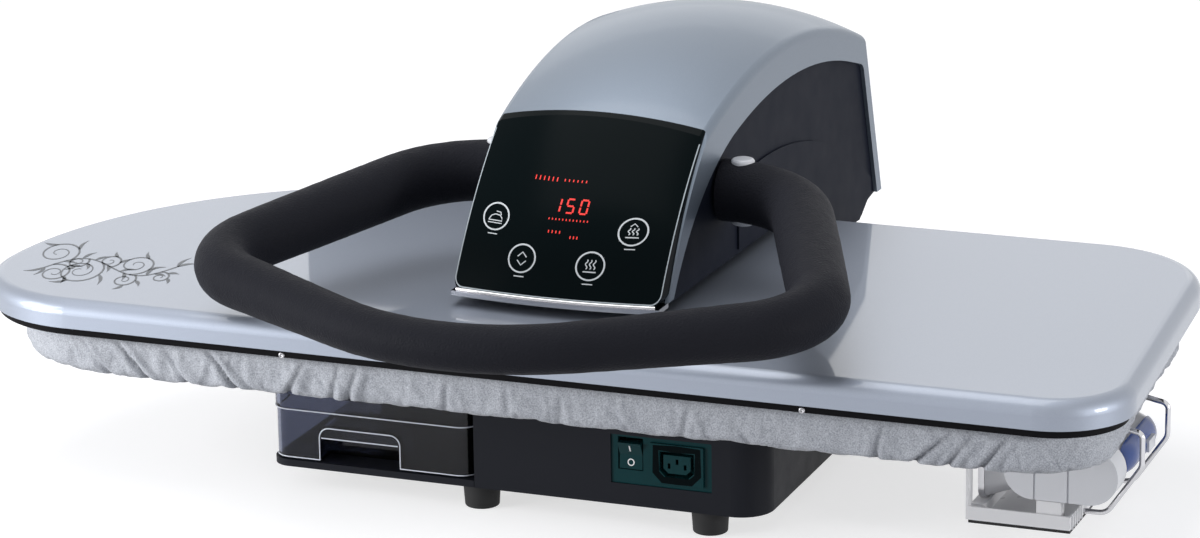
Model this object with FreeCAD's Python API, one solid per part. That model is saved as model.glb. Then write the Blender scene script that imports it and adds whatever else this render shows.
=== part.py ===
"""Steam ironing press: a heated platen on a swing arm closes on a padded bed.

Millimetres. While it is built, X = 0 is the middle of the pressing head, Y = 0 is the middle of the
platen's depth and Z = 0 is the table top. FRAME moves every piece to the part's own frame, whose origin
is on the table at the middle of the whole press. The front of the press is at -Y.
"""
import FreeCAD, Part
import math
import os

V = FreeCAD.Vector
os.makedirs("parts", exist_ok=True)

# Fits and sheet gauges
running_gap = 0.05
soft_gap = 0.3
steel_gauge = 4.0

# Platen outline, seen from above
platen_left = -520.0
platen_right = 500.0
right_slant = 32.0
platen_depth = 452.0
nose_front_radius = 115.0
corner_front_radius = 65.0
corner_rear_radius = 108.0

# Heights of the stack on the table
foot_height = 21.5
base_plate_gauge = 2.5
housing_top = 110.0
board_thickness = 8.0
foam_thickness = 18.0
cloth_gauge = 1.6
sole_thickness = 6.0
cover_bottom = 146.0
cover_height = 23.5
cover_gauge = 1.5
cover_edge_radius = 12.0
band_inset = 6.3
band_width = 6.0
band_height = 13.0

# Padded bed
pad_inset_left = 40.0
pad_inset_right = 18.0
pad_inset_front = 12.0
pad_inset_rear = 14.0
pad_edge_radius = 7.0
foam_inset = 4.2
hem_height = 104.5
hem_tuck = 9.0
skirt_top = 128.0
skirt_waist = 116.0
waist_tuck = 1.0
gather_length = 62.0
gather_depth = 2.5

# Base housing
base_left = -250.0
base_right = 192.0
base_front = -159.0
base_rear = 338.0
base_corner = 28.0
base_wall = 3.0
foot_radius = 16.0
front_foot_left = -64.0
front_foot_right = 139.0
front_foot_y = -138.0
rear_foot_inset = 40.0

# Tank bay and water tank
bay_right = -62.0
dock_depth = 15.0
bay_ceiling = 97.0
tray_height = 6.0
tank_gap = 1.0
tank_wall = 2.5
tank_length = 214.0
tank_height = 64.0
tank_corner = 16.0
tank_step = 1.2
tank_foot_radius = 3.0
lid_height = 20.0
lid_edge_radius = 4.0
grip_width = 74.0
grip_height = 30.0
grip_depth = 24.0
grip_left = -204.0
grip_corner = 9.0
grip_lip = 9.0

# Front switch plate
plate_left = 60.0
plate_width = 88.0
plate_bottom = 40.0
plate_height = 42.0
plate_gauge = 3.0
plate_recess = 1.5
rocker_width = 20.0
rocker_height = 24.0
rocker_centre_x = 77.0
rocker_centre_z = 66.0
rocker_tilt = 12.0
rocker_slack = 1.0
socket_centre_x = 118.0
socket_centre_z = 61.0
socket_width = 46.0
socket_height = 34.0
socket_depth = 22.0

# Rear hinge of the head
hinge_y = 330.0
hinge_z = 135.0
hinge_shaft_radius = 8.0
hinge_boss_radius = 24.0
hinge_bush_wall = 3.0
tower_inner = 56.0
tower_gauge = 6.0
tower_depth = 56.0

# Swing arm
arm_inner = 44.0
arm_front = -56.0
arm_low = 190.0
arm_top = 292.0

# Handle and its crank
pivot_y = 25.0
pivot_z = 244.0
handle_tilt = 5.4
shaft_radius = 7.0
tube_radius = 12.5
tube_wall = 2.0
grip_root_radius = 26.0
grip_front_radius = 19.0
side_corner_x = 160.0
tip_corner_x = 272.0
tip_corner_v = 266.0
front_corner_v = 409.0
side_bend_radius = 90.0
tip_bend_radius = 67.0
front_bend_radius = 221.0
handle_travel = 25.0
crank_throw = 16.0
crank_pin_radius = 3.5
crank_gauge = 6.0
yoke_inner = 26.0
yoke_gauge = 4.0

# Guide posts between the arm and the platen
post_radius = 7.0
post_height = 60.0
post_front_y = -34.0
post_rear_y = 140.0
bush_wall = 4.0
bush_length = 18.0

# Pressing head covers
head_half_front = 92.0
head_half_rear = 104.0
head_bottom = 181.5
fascia_foot_y = -126.0
fascia_top_y = -22.0
fascia_top_z = 299.0
fascia_bow_low = 8.0
fascia_bow_top = 22.0
fascia_bulge = 7.0
fascia_depth_low = 20.0
fascia_depth_top = 5.0
fascia_wall = 4.0
fascia_corner = 9.0
hood_peak_y = 150.0
hood_peak_z = 336.0
hood_rear_y = 382.0
hood_rear_z = 296.0
hood_tail_y = 429.0
hood_tail_z = 141.0
hood_gauge = 3.5
shoulder_radius = 8.0
crown_front = 16.0
crown_rear = 21.0
tail_band = 12.0
arch_foot_y = -95.0
arch_rise_y = -34.0
arch_rise_z = 247.0
arch_shoulder_y = 46.0
arch_shoulder_z = 287.0
arch_peak_y = 177.0
arch_peak_z = 305.0
arch_rear_y = 343.0
arch_rear_z = 282.0
arch_corner = 14.0
panel_gauge = 3.0
panel_recess = 0.3
strip_height = 4.0
strip_proud = 3.0

# Iron cradle and iron: the iron lies on its side, sole to the left, heel to the front
iron_sole_x = 352.0
iron_heel_y = -88.0
iron_length = 205.0
iron_half_width = 34.0
heel_half = 24.0
iron_centre_z = 67.5
iron_height = 118.0
sole_gauge = 5.0
skirt_height = 40.0
handle_bar_radius = 13.0
tray_gauge = 2.2
heel_gauge = 10.0
wire_radius = 2.3
iron_wire_gap = 5.0

# Derived places
platen_front = -platen_depth / 2
platen_rear = platen_depth / 2
nose_rear_radius = platen_depth - nose_front_radius
right_slope = right_slant / platen_depth
cover_top = cover_bottom + cover_height
housing_bottom = foot_height + base_plate_gauge
board_top = housing_top + board_thickness
cloth_top = board_top + foam_thickness + cloth_gauge + soft_gap
sole_bottom = cloth_top + soft_gap
sole_top = sole_bottom + sole_thickness
tilt = math.radians(handle_tilt)
half_travel = math.radians(handle_travel / 2)
handle_front_v = front_corner_v - front_bend_radius * (
    1 / math.cos(math.atan2(front_corner_v - tip_corner_v, tip_corner_x)) - 1)
handle_front_y = pivot_y - handle_front_v * math.cos(tilt) - grip_front_radius
bay_rear = base_front + tank_gap + tank_length + tank_gap + dock_depth
FRAME = V(-(platen_left + platen_right) / 2, -(handle_front_y + hood_tail_y) / 2, 0)


def save(name, shape):
    """Move a finished piece to the part's frame and write it."""
    moved = shape.copy()
    moved.translate(FRAME)
    moved.exportStep("parts/" + name + ".step")
    print(name, "solids", len(moved.Solids), "valid", moved.isValid(), "volume", round(moved.Volume))


def block(x0, x1, y0, y1, z0, z1):
    return Part.makeBox(x1 - x0, y1 - y0, z1 - z0, V(x0, y0, z0))


def rod(start, end, radius):
    return Part.makeCylinder(radius, start.distanceToPoint(end), start, end.sub(start))


def group(shapes):
    return Part.makeCompound(shapes)


def arc(a, b, c):
    return Part.Arc(a, b, c).toShape()


def line(a, b):
    return Part.LineSegment(a, b).toShape()


def polygon(points):
    return Part.Face(Part.makePolygon(points + [points[0]]))


def slab(points, thickness):
    """Extrude a polygon of points in the YZ plane along X, centred on X = 0."""
    face = polygon([V(-thickness / 2, p[0], p[1]) for p in points])
    return face.extrude(V(thickness, 0, 0))


def rounded_edges(x0, x1, y0, y1, radii, z, slope=0.0):
    """Edges of a rectangle with its own radius at each corner: front left, front right, rear right, rear left.

    With a slope the right side runs in towards the rear, and x1 is its furthest reach.
    """
    fl, fr, rr, rl = radii
    lean = math.atan(slope)
    reach = (x1 - fr) * math.cos(lean) + (y0 + fr) * math.sin(lean) + fr
    rear_x = (reach - rr - (y1 - rr) * math.sin(lean)) / math.cos(lean)
    quarters = [(x1 - fr, y0 + fr, fr, -math.pi / 2, lean), (rear_x, y1 - rr, rr, lean, math.pi / 2),
                (x0 + rl, y1 - rl, rl, math.pi / 2, math.pi), (x0 + fl, y0 + fl, fl, math.pi, math.pi * 3 / 2)]
    corners = [[V(x + r * math.cos(a), y + r * math.sin(a), z) for a in (a0, (a0 + a1) / 2, a1)]
               for x, y, r, a0, a1 in quarters]
    edges = []
    for i, corner in enumerate(corners):
        edges.append(arc(*corner))
        following = corners[(i + 1) % 4][0]
        if corner[2].distanceToPoint(following) > 0.001:
            edges.append(line(corner[2], following))
    return edges


def rounded_plan(x0, x1, y0, y1, radii, z):
    return Part.Wire(rounded_edges(x0, x1, y0, y1, radii, z))


def prism(wire, height):
    return Part.Face(wire).extrude(V(0, 0, height))


def platen_prism(inset, z0, z1):
    """The platen's outline drawn in by inset, from z0 to z1."""
    radii = [nose_front_radius, corner_front_radius, corner_rear_radius, nose_rear_radius]
    edges = rounded_edges(platen_left + inset, platen_right - inset, platen_front + inset,
                          platen_rear - inset, [r - inset for r in radii], z0, right_slope)
    return prism(Part.Wire(edges), z1 - z0)


def pad_edges(inset, z):
    """Edges of the padded bed's outline drawn in by inset."""
    x0 = platen_left + pad_inset_left + inset
    x1 = platen_right - pad_inset_right - inset
    y0 = platen_front + pad_inset_front + inset
    y1 = platen_rear - pad_inset_rear - inset
    nose_rear = y1 - y0 - (nose_front_radius - inset)
    radii = [nose_front_radius - inset, corner_front_radius - inset, corner_rear_radius - inset, nose_rear]
    return rounded_edges(x0, x1, y0, y1, radii, z, right_slope)


def pad_prism(inset, z0, z1):
    return prism(Part.Wire(pad_edges(inset, z0)), z1 - z0)


def edges_at(shape, z):
    return [e for e in shape.Edges if abs(e.BoundBox.ZMin - z) < 0.01 and abs(e.BoundBox.ZMax - z) < 0.01]


def corner_points(before, corner, after, radius):
    """Start, middle and end of the arc that rounds a corner between two straight runs."""
    into = (corner - before).normalize()
    out = (after - corner).normalize()
    turn = into.getAngle(out)
    reach = radius * math.tan(turn / 2)
    inward = (out - into).normalize()
    return corner - into * reach, corner + inward * (radius / math.cos(turn / 2) - radius), corner + out * reach


def bent_path(points, radii):
    """Wire of straight runs with a tangent arc of the given radius at each inner point."""
    edges = []
    last = points[0]
    for before, corner, after, radius in zip(points, points[1:], points[2:], radii):
        begin, middle, end = corner_points(before, corner, after, radius)
        if last.distanceToPoint(begin) > 0.001:
            edges.append(line(last, begin))
        edges.append(arc(begin, middle, end))
        last = end
    if last.distanceToPoint(points[-1]) > 0.001:
        edges.append(line(last, points[-1]))
    return Part.Wire(edges)


def tube_along(path, radius):
    """Round bar swept along a tangent path."""
    start = path.OrderedEdges[0]
    circle = Part.Wire(Part.Circle(start.valueAt(start.FirstParameter),
                                   start.tangentAt(start.FirstParameter), radius).toShape())
    return path.makePipeShell([circle], True, False)


# Platen: silver cover, insulating band, sole plate with ribs, heating element

def platen_cover():
    outer = platen_prism(0, cover_bottom, cover_top)
    outer = outer.makeFillet(cover_edge_radius, edges_at(outer, cover_top))
    inner = platen_prism(cover_gauge, cover_bottom, cover_top - cover_gauge)
    inner = inner.makeFillet(cover_edge_radius - cover_gauge, edges_at(inner, cover_top - cover_gauge))
    return outer.cut(inner)


def insulating_band():
    outer = platen_prism(band_inset, sole_bottom + soft_gap, sole_bottom + band_height)
    return outer.cut(platen_prism(band_inset + band_width, sole_bottom, sole_bottom + band_height))


rib_gauge = 6.0
rib_rows = (-150.0, -50.0, 50.0, 150.0)
rib_left = -330.0
rib_right = 430.0


def sole_plate():
    plate = platen_prism(band_inset + band_width, sole_bottom, sole_top)
    plate = plate.makeFillet(2.0, edges_at(plate, sole_bottom))
    for y in rib_rows:
        rib = block(rib_left, rib_right, y - rib_gauge / 2, y + rib_gauge / 2,
                    sole_top, cover_top - cover_gauge)
        plate = plate.fuse(rib)
    return plate.removeSplitter()


element_radius = 4.0


def heating_element():
    """Tubular heater lying on the sole plate, in long loops between the ribs."""
    z = sole_top + element_radius
    loops = []
    for low, high in zip(rib_rows[::2], rib_rows[1::2]):
        y0 = low + (high - low) / 4
        y1 = high - (high - low) / 4
        bend = (y1 - y0) / 2
        points = [V(rib_left, y0, z), V(rib_right, y0, z), V(rib_right, y1, z), V(rib_left, y1, z)]
        loops.append(tube_along(bent_path(points, [bend * 0.98, bend * 0.98]), element_radius))
    return group(loops)


# Pressing mechanism on the platen: slotted yoke and guide posts

yoke_base_height = 3.0
yoke_half_width = 60.0
yoke_front_y = -10.0
yoke_rear_y = 62.0
slot_slack = 0.1
slot_run = 0.7
pin_y = pivot_y - crank_throw * math.cos(half_travel)
pin_z = pivot_z - crank_throw * math.sin(half_travel)
yoke_edge_y = pivot_y - shaft_radius - 0.6


def platen_yoke():
    base = block(-yoke_half_width, yoke_half_width, yoke_front_y, yoke_rear_y,
                 cover_top, cover_top + yoke_base_height)
    yoke = base
    top = pin_z + crank_pin_radius + 7.0
    profile = [(yoke_front_y, cover_top + yoke_base_height), (yoke_rear_y - 10, cover_top + yoke_base_height),
               (yoke_edge_y, cover_top + 40), (yoke_edge_y, top), (pin_y - 9, top), (yoke_front_y, cover_top + 40)]
    slot_half = crank_pin_radius + slot_slack
    for side in (-1, 1):
        cheek = slab(profile, yoke_gauge)
        slot = block(-yoke_gauge, yoke_gauge, pin_y - slot_half - slot_run, pin_y + slot_half + slot_run,
                     pin_z - slot_half, pin_z + slot_half)
        cheek = cheek.cut(slot)
        cheek.translate(V(side * (yoke_inner + yoke_gauge / 2), 0, 0))
        yoke = yoke.fuse(cheek)
    return yoke.removeSplitter()


post_foot_radius = 16.0
post_foot_height = 4.0


def guide_posts():
    posts = []
    for y in (post_front_y, post_rear_y):
        foot = Part.makeCylinder(post_foot_radius, post_foot_height, V(0, y, cover_top))
        post = Part.makeCylinder(post_radius, post_height, V(0, y, cover_top))
        posts.append(foot.fuse(post).removeSplitter())
    return group(posts)


# Swing arm with its guide bushes and hinge bushes

web_low = 200.0
web_gauge = 5.0
arm_spine_y = 60.0
bush_radius = post_radius + running_gap + bush_wall
hinge_bush_radius = hinge_shaft_radius + running_gap + hinge_bush_wall


def arm_profile():
    """Side plate of the arm: a swan neck from the hinge boss up and over the platen."""
    low_rear = platen_rear + 20.0
    return Part.Face(Part.Wire([
        line(V(0, arm_front, arm_low), V(0, low_rear, arm_low)),
        arc(V(0, low_rear, arm_low), V(0, hinge_y - hinge_boss_radius - 14, arm_low - 14),
            V(0, hinge_y - hinge_boss_radius, hinge_z)),
        arc(V(0, hinge_y - hinge_boss_radius, hinge_z), V(0, hinge_y, hinge_z - hinge_boss_radius),
            V(0, hinge_y + hinge_boss_radius, hinge_z)),
        arc(V(0, hinge_y + hinge_boss_radius, hinge_z), V(0, hinge_y - 6, arm_top - 58),
            V(0, arm_spine_y + 130, arm_top)),
        line(V(0, arm_spine_y + 130, arm_top), V(0, pivot_y, arm_top)),
        line(V(0, pivot_y, arm_top), V(0, arm_front, arm_low + 30)),
        line(V(0, arm_front, arm_low + 30), V(0, arm_front, arm_low)),
    ]))


def swing_arm():
    arm = None
    for side in (-1, 1):
        cheek = arm_profile().extrude(V(steel_gauge, 0, 0))
        cheek.translate(V(arm_inner if side > 0 else -arm_inner - steel_gauge, 0, 0))
        cheek = cheek.cut(rod(V(-200, pivot_y, pivot_z), V(200, pivot_y, pivot_z), shaft_radius + running_gap))
        cheek = cheek.cut(rod(V(-200, hinge_y, hinge_z), V(200, hinge_y, hinge_z), hinge_bush_radius))
        arm = cheek if arm is None else arm.fuse(cheek)
    for y0, y1, post_y in ((arm_front, -15.0, post_front_y), (90.0, 190.0, post_rear_y)):
        web = block(-arm_inner, arm_inner, y0, y1, web_low, web_low + web_gauge)
        web = web.cut(Part.makeCylinder(bush_radius, 40, V(0, post_y, web_low - 20)))
        arm = arm.fuse(web)
    spine = block(-arm_inner, arm_inner, arm_spine_y, arm_spine_y + 120, arm_top - steel_gauge, arm_top)
    return arm.fuse(spine).removeSplitter()


def guide_bushes():
    bushes = []
    for y in (post_front_y, post_rear_y):
        low = web_low - (bush_length - web_gauge) / 2
        ring = Part.makeCylinder(bush_radius, bush_length, V(0, y, low))
        ring = ring.cut(Part.makeCylinder(post_radius + running_gap, bush_length, V(0, y, low)))
        bushes.append(ring)
    return group(bushes)


def hinge_bushes():
    bushes = []
    for side in (-1, 1):
        x0 = arm_inner - 4.0 if side > 0 else -(tower_inner - 1.0)
        length = tower_inner - 1.0 - (arm_inner - 4.0)
        start = V(x0, hinge_y, hinge_z)
        ring = rod(start, start + V(length, 0, 0), hinge_bush_radius)
        ring = ring.cut(rod(start, start + V(length, 0, 0), hinge_shaft_radius + running_gap))
        bushes.append(ring)
    return group(bushes)


# Covers of the pressing head

def edge_height(y):
    """Height of the hood's side crease at a place along its length: an arc through three points."""
    ring = arc(V(fascia_top_y, fascia_top_z, 0), V(hood_peak_y, hood_peak_z, 0),
               V(hood_rear_y, hood_rear_z, 0)).Curve
    centre = ring.Center
    return centre.y + math.sqrt(ring.Radius ** 2 - (y - centre.x) ** 2)


def along_head(y):
    return (y - fascia_top_y) / (hood_rear_y - fascia_top_y)


def head_half(y):
    """Half width of the head, which widens evenly from the fascia's foot to the tail."""
    share = (y - fascia_foot_y) / (hood_tail_y - fascia_foot_y)
    return head_half_front + (head_half_rear - head_half_front) * share


def head_side(piece, side, depth):
    """Stand a piece drawn about X = 0 against one side of the head, its middle depth inside the skin."""
    flare = math.degrees(math.atan2(head_half_rear - head_half_front, hood_tail_y - fascia_foot_y))
    piece.rotate(V(0, fascia_foot_y, 0), V(0, 0, 1), -side * flare)
    piece.translate(V(side * (head_half_front - depth), 0, 0))
    return piece


def outside_head(side, depth):
    """Everything further out than depth inside the head's skin, used to trim pieces to it."""
    far = 400.0
    return head_side(block(0, far, -far, 2 * far, 0, 2 * far) if side > 0
                     else block(-far, 0, -far, 2 * far, 0, 2 * far), side, depth)


def crown_edges(y, depth):
    """The hood's skin across one place of the head, depth inside its face: right shoulder, crown, left shoulder."""
    w = head_half(y)
    crown = crown_front + (crown_rear - crown_front) * along_head(y)
    big = (w * w + crown * crown) / (2 * crown)
    big_z = edge_height(y) + crown - big
    x = w - shoulder_radius
    z = big_z + math.sqrt((big - shoulder_radius) ** 2 - x * x)
    lean = math.atan2(z - big_z, x)
    r = shoulder_radius - depth
    spots = [(x + r * math.cos(a), z + r * math.sin(a)) for a in (0, lean / 2, lean)]
    right = [V(px, y, pz) for px, pz in spots]
    left = [V(-px, y, pz) for px, pz in spots[::-1]]
    return [arc(*right), arc(right[2], V(0, y, big_z + big - depth), left[0]), arc(*left)]


def ends_of(edges):
    return edges[0].valueAt(edges[0].FirstParameter), edges[-1].valueAt(edges[-1].LastParameter)


def hood_section(y):
    """Crowned strip across the hood with a short rim down each side, as one closed wire."""
    skin = crown_edges(y, 0)
    lining = crown_edges(y, hood_gauge)
    rim = V(0, 0, -hood_rim)
    right, left = ends_of(skin)
    right_in, left_in = ends_of(lining)
    sides = [line(left, left + rim), line(left + rim, left_in + rim), line(left_in + rim, left_in),
             line(right_in, right_in + rim), line(right_in + rim, right + rim), line(right + rim, right)]
    return Part.Wire(Part.__sortEdges__(skin + lining + sides))


def core_section(y):
    """Everything under the hood's skin at one place of the head, down to the tail's lower edge."""
    skin = crown_edges(y, 0)
    right, left = ends_of(skin)
    low_right = V(right.x, y, hood_tail_z)
    low_left = V(left.x, y, hood_tail_z)
    return Part.Wire(skin + [line(left, low_left), line(low_left, low_right), line(low_right, right)])


def lofted(section, y0, y1):
    step = (y1 - y0) / (hood_stations - 1)
    return Part.makeLoft([section(y0 + i * step) for i in range(hood_stations)], True, False)


hood_rim = 2.5
hood_stations = 7
fascia_run = V(0, fascia_top_y - fascia_foot_y, fascia_top_z - head_bottom)
fascia_half = head_half_front - 0.5
fascia_stations = 5
fascia_crest_z = fascia_top_z + 36.0


def front_y(z):
    """Place of the fascia's side edge at a height: an arc that swells to the front."""
    foot = V(0, fascia_foot_y, head_bottom)
    outward = V(0, -fascia_run.z, fascia_run.y).normalize()
    ring = arc(foot, foot + fascia_run * 0.5 + outward * fascia_bulge, foot + fascia_run).Curve
    return ring.Center.y - math.sqrt(ring.Radius ** 2 - (z - ring.Center.z) ** 2)


def front_share(z):
    return (z - head_bottom) / (fascia_top_z - head_bottom)


def rim_depth(z):
    """Depth of the fascia's side rim, which narrows towards its top."""
    return fascia_depth_low + (fascia_depth_top - fascia_depth_low) * front_share(z)


def face_inset(z):
    return 0.0


def lining_inset(z):
    return fascia_wall


def bowed_wire(half, inset, depth, z):
    """Crescent in plan at a height: the face's bowed arc, inset, and the same arc again, depth behind it."""
    bow = fascia_bow_low + (fascia_bow_top - fascia_bow_low) * front_share(z)
    radius = (head_half_front ** 2 + bow ** 2) / (2 * bow)
    middle_y = front_y(z) - bow + inset
    side_y = middle_y + radius - math.sqrt(radius ** 2 - half ** 2)
    out = [V(-half, side_y, z), V(0, middle_y, z), V(half, side_y, z)]
    back = [p + V(0, depth, 0) for p in out[::-1]]
    return Part.Wire([arc(*out), line(out[2], back[0]), arc(*back), line(back[2], out[0])])


def front_volume(half, inset, depth, z0, z1):
    """Room behind the fascia's face that follows its curves; inset and depth may change with the height."""
    step = (z1 - z0) / (fascia_stations - 1)
    heights = [z0 + i * step for i in range(fascia_stations)]
    return Part.makeLoft([bowed_wire(half, inset(z), depth(z), z) for z in heights], True, False)


def deep(z):
    return 800.0


def arch_edges(grow, foot_z):
    """Edge of the opening in the head's side, moved out by grow, from its front foot to the tail."""
    foot = V(0, arch_foot_y - grow, foot_z)
    rise = V(0, arch_rise_y - grow * 0.7, arch_rise_z + grow * 0.7)
    shoulder = V(0, arch_shoulder_y - grow * 0.25, arch_shoulder_z + grow)
    rear = V(0, arch_rear_y + grow * 0.2, arch_rear_z + grow)
    front = arc(V(0, arch_foot_y - grow, head_bottom), rise, shoulder)
    top = arc(shoulder, V(0, arch_peak_y, arch_peak_z + grow), rear)
    tail = V(0, hood_tail_y - tail_band + grow, hood_tail_z)
    upward = V(0, hood_rear_y - hood_tail_y, hood_rear_z - hood_tail_z).normalize()
    out = top.tangentAt(top.LastParameter)
    along = ((rear.y - tail.y) * out.z - (rear.z - tail.z) * out.y) / (upward.y * out.z - upward.z * out.y)
    corner = tail + upward * along
    begin, middle, end = corner_points(rear, corner, tail, arch_corner)
    edges = [line(foot, V(0, arch_foot_y - grow, head_bottom))] if foot_z < head_bottom else []
    return edges + [front, top, line(rear, begin), arc(begin, middle, end), line(end, tail)]


def yz_slab(edges, thickness):
    """Extrude a closed outline in the YZ plane along X, centred on X = 0."""
    sheet = Part.Face(Part.Wire(edges)).extrude(V(thickness, 0, 0))
    sheet.translate(V(-thickness / 2, 0, 0))
    return sheet


def side_sheet():
    """Side of the hood: the head's outline with the arched opening cut out of it."""
    drop = shoulder_radius - hood_rim / 2
    top = [V(0, y, edge_height(y) - drop) for y in (fascia_foot_y, hood_peak_y, hood_rear_y)]
    tail = V(0, hood_tail_y, hood_tail_z)
    low = V(0, fascia_foot_y, hood_tail_z)
    outline = [arc(*top), line(top[2], tail), line(tail, low), line(low, top[0])]
    edges = arch_edges(0, cover_top)
    foot, end = ends_of(edges)
    deep_end = V(0, end.y, cover_top - 60)
    deep_foot = V(0, foot.y, cover_top - 60)
    opening = edges + [line(end, deep_end), line(deep_end, deep_foot), line(deep_foot, foot)]
    below = slab([(fascia_foot_y - 50, 0), (arch_foot_y + 30, 0), (arch_foot_y + 30, head_bottom),
                  (fascia_foot_y - 50, head_bottom)], hood_gauge)
    return yz_slab(outline, hood_gauge).cut(yz_slab(opening, hood_gauge)).cut(below)


def tail_plane_y(z):
    """The hood's tail leans: its place at a height."""
    return hood_rear_y + (hood_tail_y - hood_rear_y) * (hood_rear_z - z) / (hood_rear_z - hood_tail_z)


def tail_slab(y0, y1):
    """Slab across the head between two planes that lean like the tail, y0 and y1 behind it."""
    high = hood_peak_z + 60
    points = [(tail_plane_y(high) + y0, high), (tail_plane_y(0) + y0, 0), (tail_plane_y(0) + y1, 0),
              (tail_plane_y(high) + y1, high)]
    return slab(points, 4 * head_half_rear)


def hood():
    """Silver arch: lofted crown with round shoulders, sides with an arched opening, and a tail wall behind."""
    shell = lofted(hood_section, fascia_top_y - fascia_bow_top - 10, hood_rear_y + 10)
    for side in (-1, 1):
        shell = shell.fuse(head_side(side_sheet(), side, hood_gauge / 2))
    wall = lofted(core_section, hood_peak_y, hood_tail_y + 10).common(tail_slab(-hood_gauge, 0))
    behind = front_volume(head_half_rear + 20, rim_depth, deep, hood_tail_z, fascia_crest_z)
    behind = behind.fuse(block(-400, 400, front_y(fascia_crest_z) + 5, 700, fascia_crest_z, 500))
    return shell.fuse(wall).common(behind).cut(tail_slab(0, 200)).removeSplitter()


panel_overlap = 5.0
panel_bottom = head_bottom - strip_height
panel_low_y = 236.0
panel_low_z = 128.0
panel_foot_y = 379.0
panel_foot_z = 124.0
shaft_hole_gap = 1.0
panel_boss_radius = 6.0
panel_bosses = ((-40.0, 215.0), (110.0, 275.0), (190.0, 225.0))
ridge_rise = 1.8
ridge_inset = 4.0
ridge_front_y = 62.0
ridge_front_z = 243.0
ridge_mid_y = 250.0
ridge_mid_z = 231.0
ridge_rear_y = 405.0
ridge_rear_z = 158.0


def panel_outline(grow, low):
    """Outline of the side panel; low lifts its lower edge."""
    edges = arch_edges(grow, panel_bottom)
    foot, end = ends_of(edges)
    below = [end, V(0, hood_tail_y - 30, hood_tail_z - 4 + low), V(0, panel_foot_y, panel_foot_z + low),
             V(0, panel_low_y + 6 - low, panel_low_z + low), V(0, panel_low_y - low, panel_bottom + low)]
    corners = below + [V(0, foot.y + low, panel_bottom + low), foot] if low else below + [foot]
    return edges + [line(a, b) for a, b in zip(corners, corners[1:])]


def side_panel(side):
    """Black side of the head, set in behind the arch; a raised field fills its lower rear part."""
    sheet = yz_slab(panel_outline(panel_overlap, 0), panel_gauge)
    ridge = [V(0, ridge_front_y, ridge_front_z), V(0, ridge_mid_y, ridge_mid_z), V(0, ridge_rear_y, ridge_rear_z)]
    low_rear = V(0, ridge_rear_y, 0)
    low_front = V(0, ridge_front_y, 0)
    under = yz_slab([arc(*ridge), line(ridge[2], low_rear), line(low_rear, low_front), line(low_front, ridge[0])],
                    panel_gauge)
    field = under.common(yz_slab(panel_outline(-ridge_inset, ridge_inset), panel_gauge))
    field.translate(V(side * ridge_rise, 0, 0))
    sheet = sheet.fuse(field)
    hole = rod(V(-panel_gauge, pivot_y, pivot_z), V(panel_gauge, pivot_y, pivot_z), shaft_radius + shaft_hole_gap)
    middle = panel_recess + hood_gauge + panel_gauge / 2
    sheet = head_side(sheet.cut(hole), side, middle)
    for y, z in panel_bosses:
        seat = V(side * (arm_inner + steel_gauge), y, z)
        boss = rod(seat, V(side * head_half(y), y, z), panel_boss_radius)
        sheet = sheet.fuse(boss.cut(outside_head(side, middle)))
    return sheet.removeSplitter()


def fascia():
    """Gloss front, curved both ways, its top edge flush with the hood; hollow behind."""
    body = front_volume(fascia_half, face_inset, rim_depth, head_bottom, fascia_crest_z)
    core = lofted(core_section, fascia_foot_y - fascia_bow_top, hood_rear_y)
    r = fascia_corner
    face = rounded_plan(-fascia_half, fascia_half, 0, 2 * fascia_run.z, [r, r, r, r], 0)
    window = Part.Face(face).extrude(V(0, 0, 400))
    window.rotate(V(0, 0, 0), V(1, 0, 0), 90)
    window.translate(V(0, 200, head_bottom))
    hollow = front_volume(fascia_half - fascia_wall, lining_inset, deep,
                          head_bottom + fascia_wall, fascia_top_z - fascia_wall)
    return body.common(core).common(window).cut(hollow).removeSplitter()


def fascia_strip():
    """Bright strip under the fascia."""
    wire = bowed_wire(head_half_front, -strip_proud, fascia_depth_low + strip_proud, head_bottom)
    return Part.Face(wire).extrude(V(0, 0, -strip_height))


board_gauge = 1.6
board_half = 70.0
board_length = 88.0
board_low = 25.0
board_back = 17.0
board_post_inset = 8.0
standoff_radius = 3.0


def display_board():
    """Circuit board behind the fascia, on four stand-offs."""
    lean = V(fascia_run).normalize()
    back = V(0, lean.z, -lean.y)
    origin = V(0, fascia_foot_y, head_bottom) + lean * board_low + back * board_back
    corners = [origin + V(x, 0, 0) + lean * s for x, s in ((-board_half, 0), (board_half, 0),
                                                           (board_half, board_length), (-board_half, board_length))]
    plate = Part.Face(Part.makePolygon(corners + corners[:1])).extrude(back * board_gauge)
    behind = front_volume(fascia_half, lining_inset, deep, head_bottom, fascia_top_z)
    for x in (-board_half + board_post_inset, board_half - board_post_inset):
        for s in (board_post_inset, board_length - board_post_inset):
            post = origin + V(x, 0, 0) + lean * s
            plate = plate.fuse(rod(post, post - back * 60, standoff_radius).common(behind))
    return plate.removeSplitter()


pan_gauge = 2.0
pan_front_y = fascia_foot_y + fascia_depth_low + 6.0
pan_slack = 3.0


def head_pan():
    """Floor of the head between the side panels, open round the yoke and the guide posts."""
    pan = block(-head_half_rear, head_half_rear, pan_front_y, panel_low_y, head_bottom, head_bottom + pan_gauge)
    for side in (-1, 1):
        pan = pan.cut(outside_head(side, hood_gauge + panel_recess + panel_gauge))
    reach = yoke_inner + yoke_gauge + pan_slack
    pan = pan.cut(block(-reach, reach, yoke_front_y - pan_slack, yoke_rear_y + pan_slack, 0, 400))
    for y in (post_front_y, post_rear_y):
        pan = pan.cut(Part.makeCylinder(post_radius + pan_slack, 400, V(0, y, 0)))
    return pan


# Handle: shaft with crank, steel loop, foam grip, cross bolts

shaft_plug = 28.0
tube_start_x = head_half_front + 2.0


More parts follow.
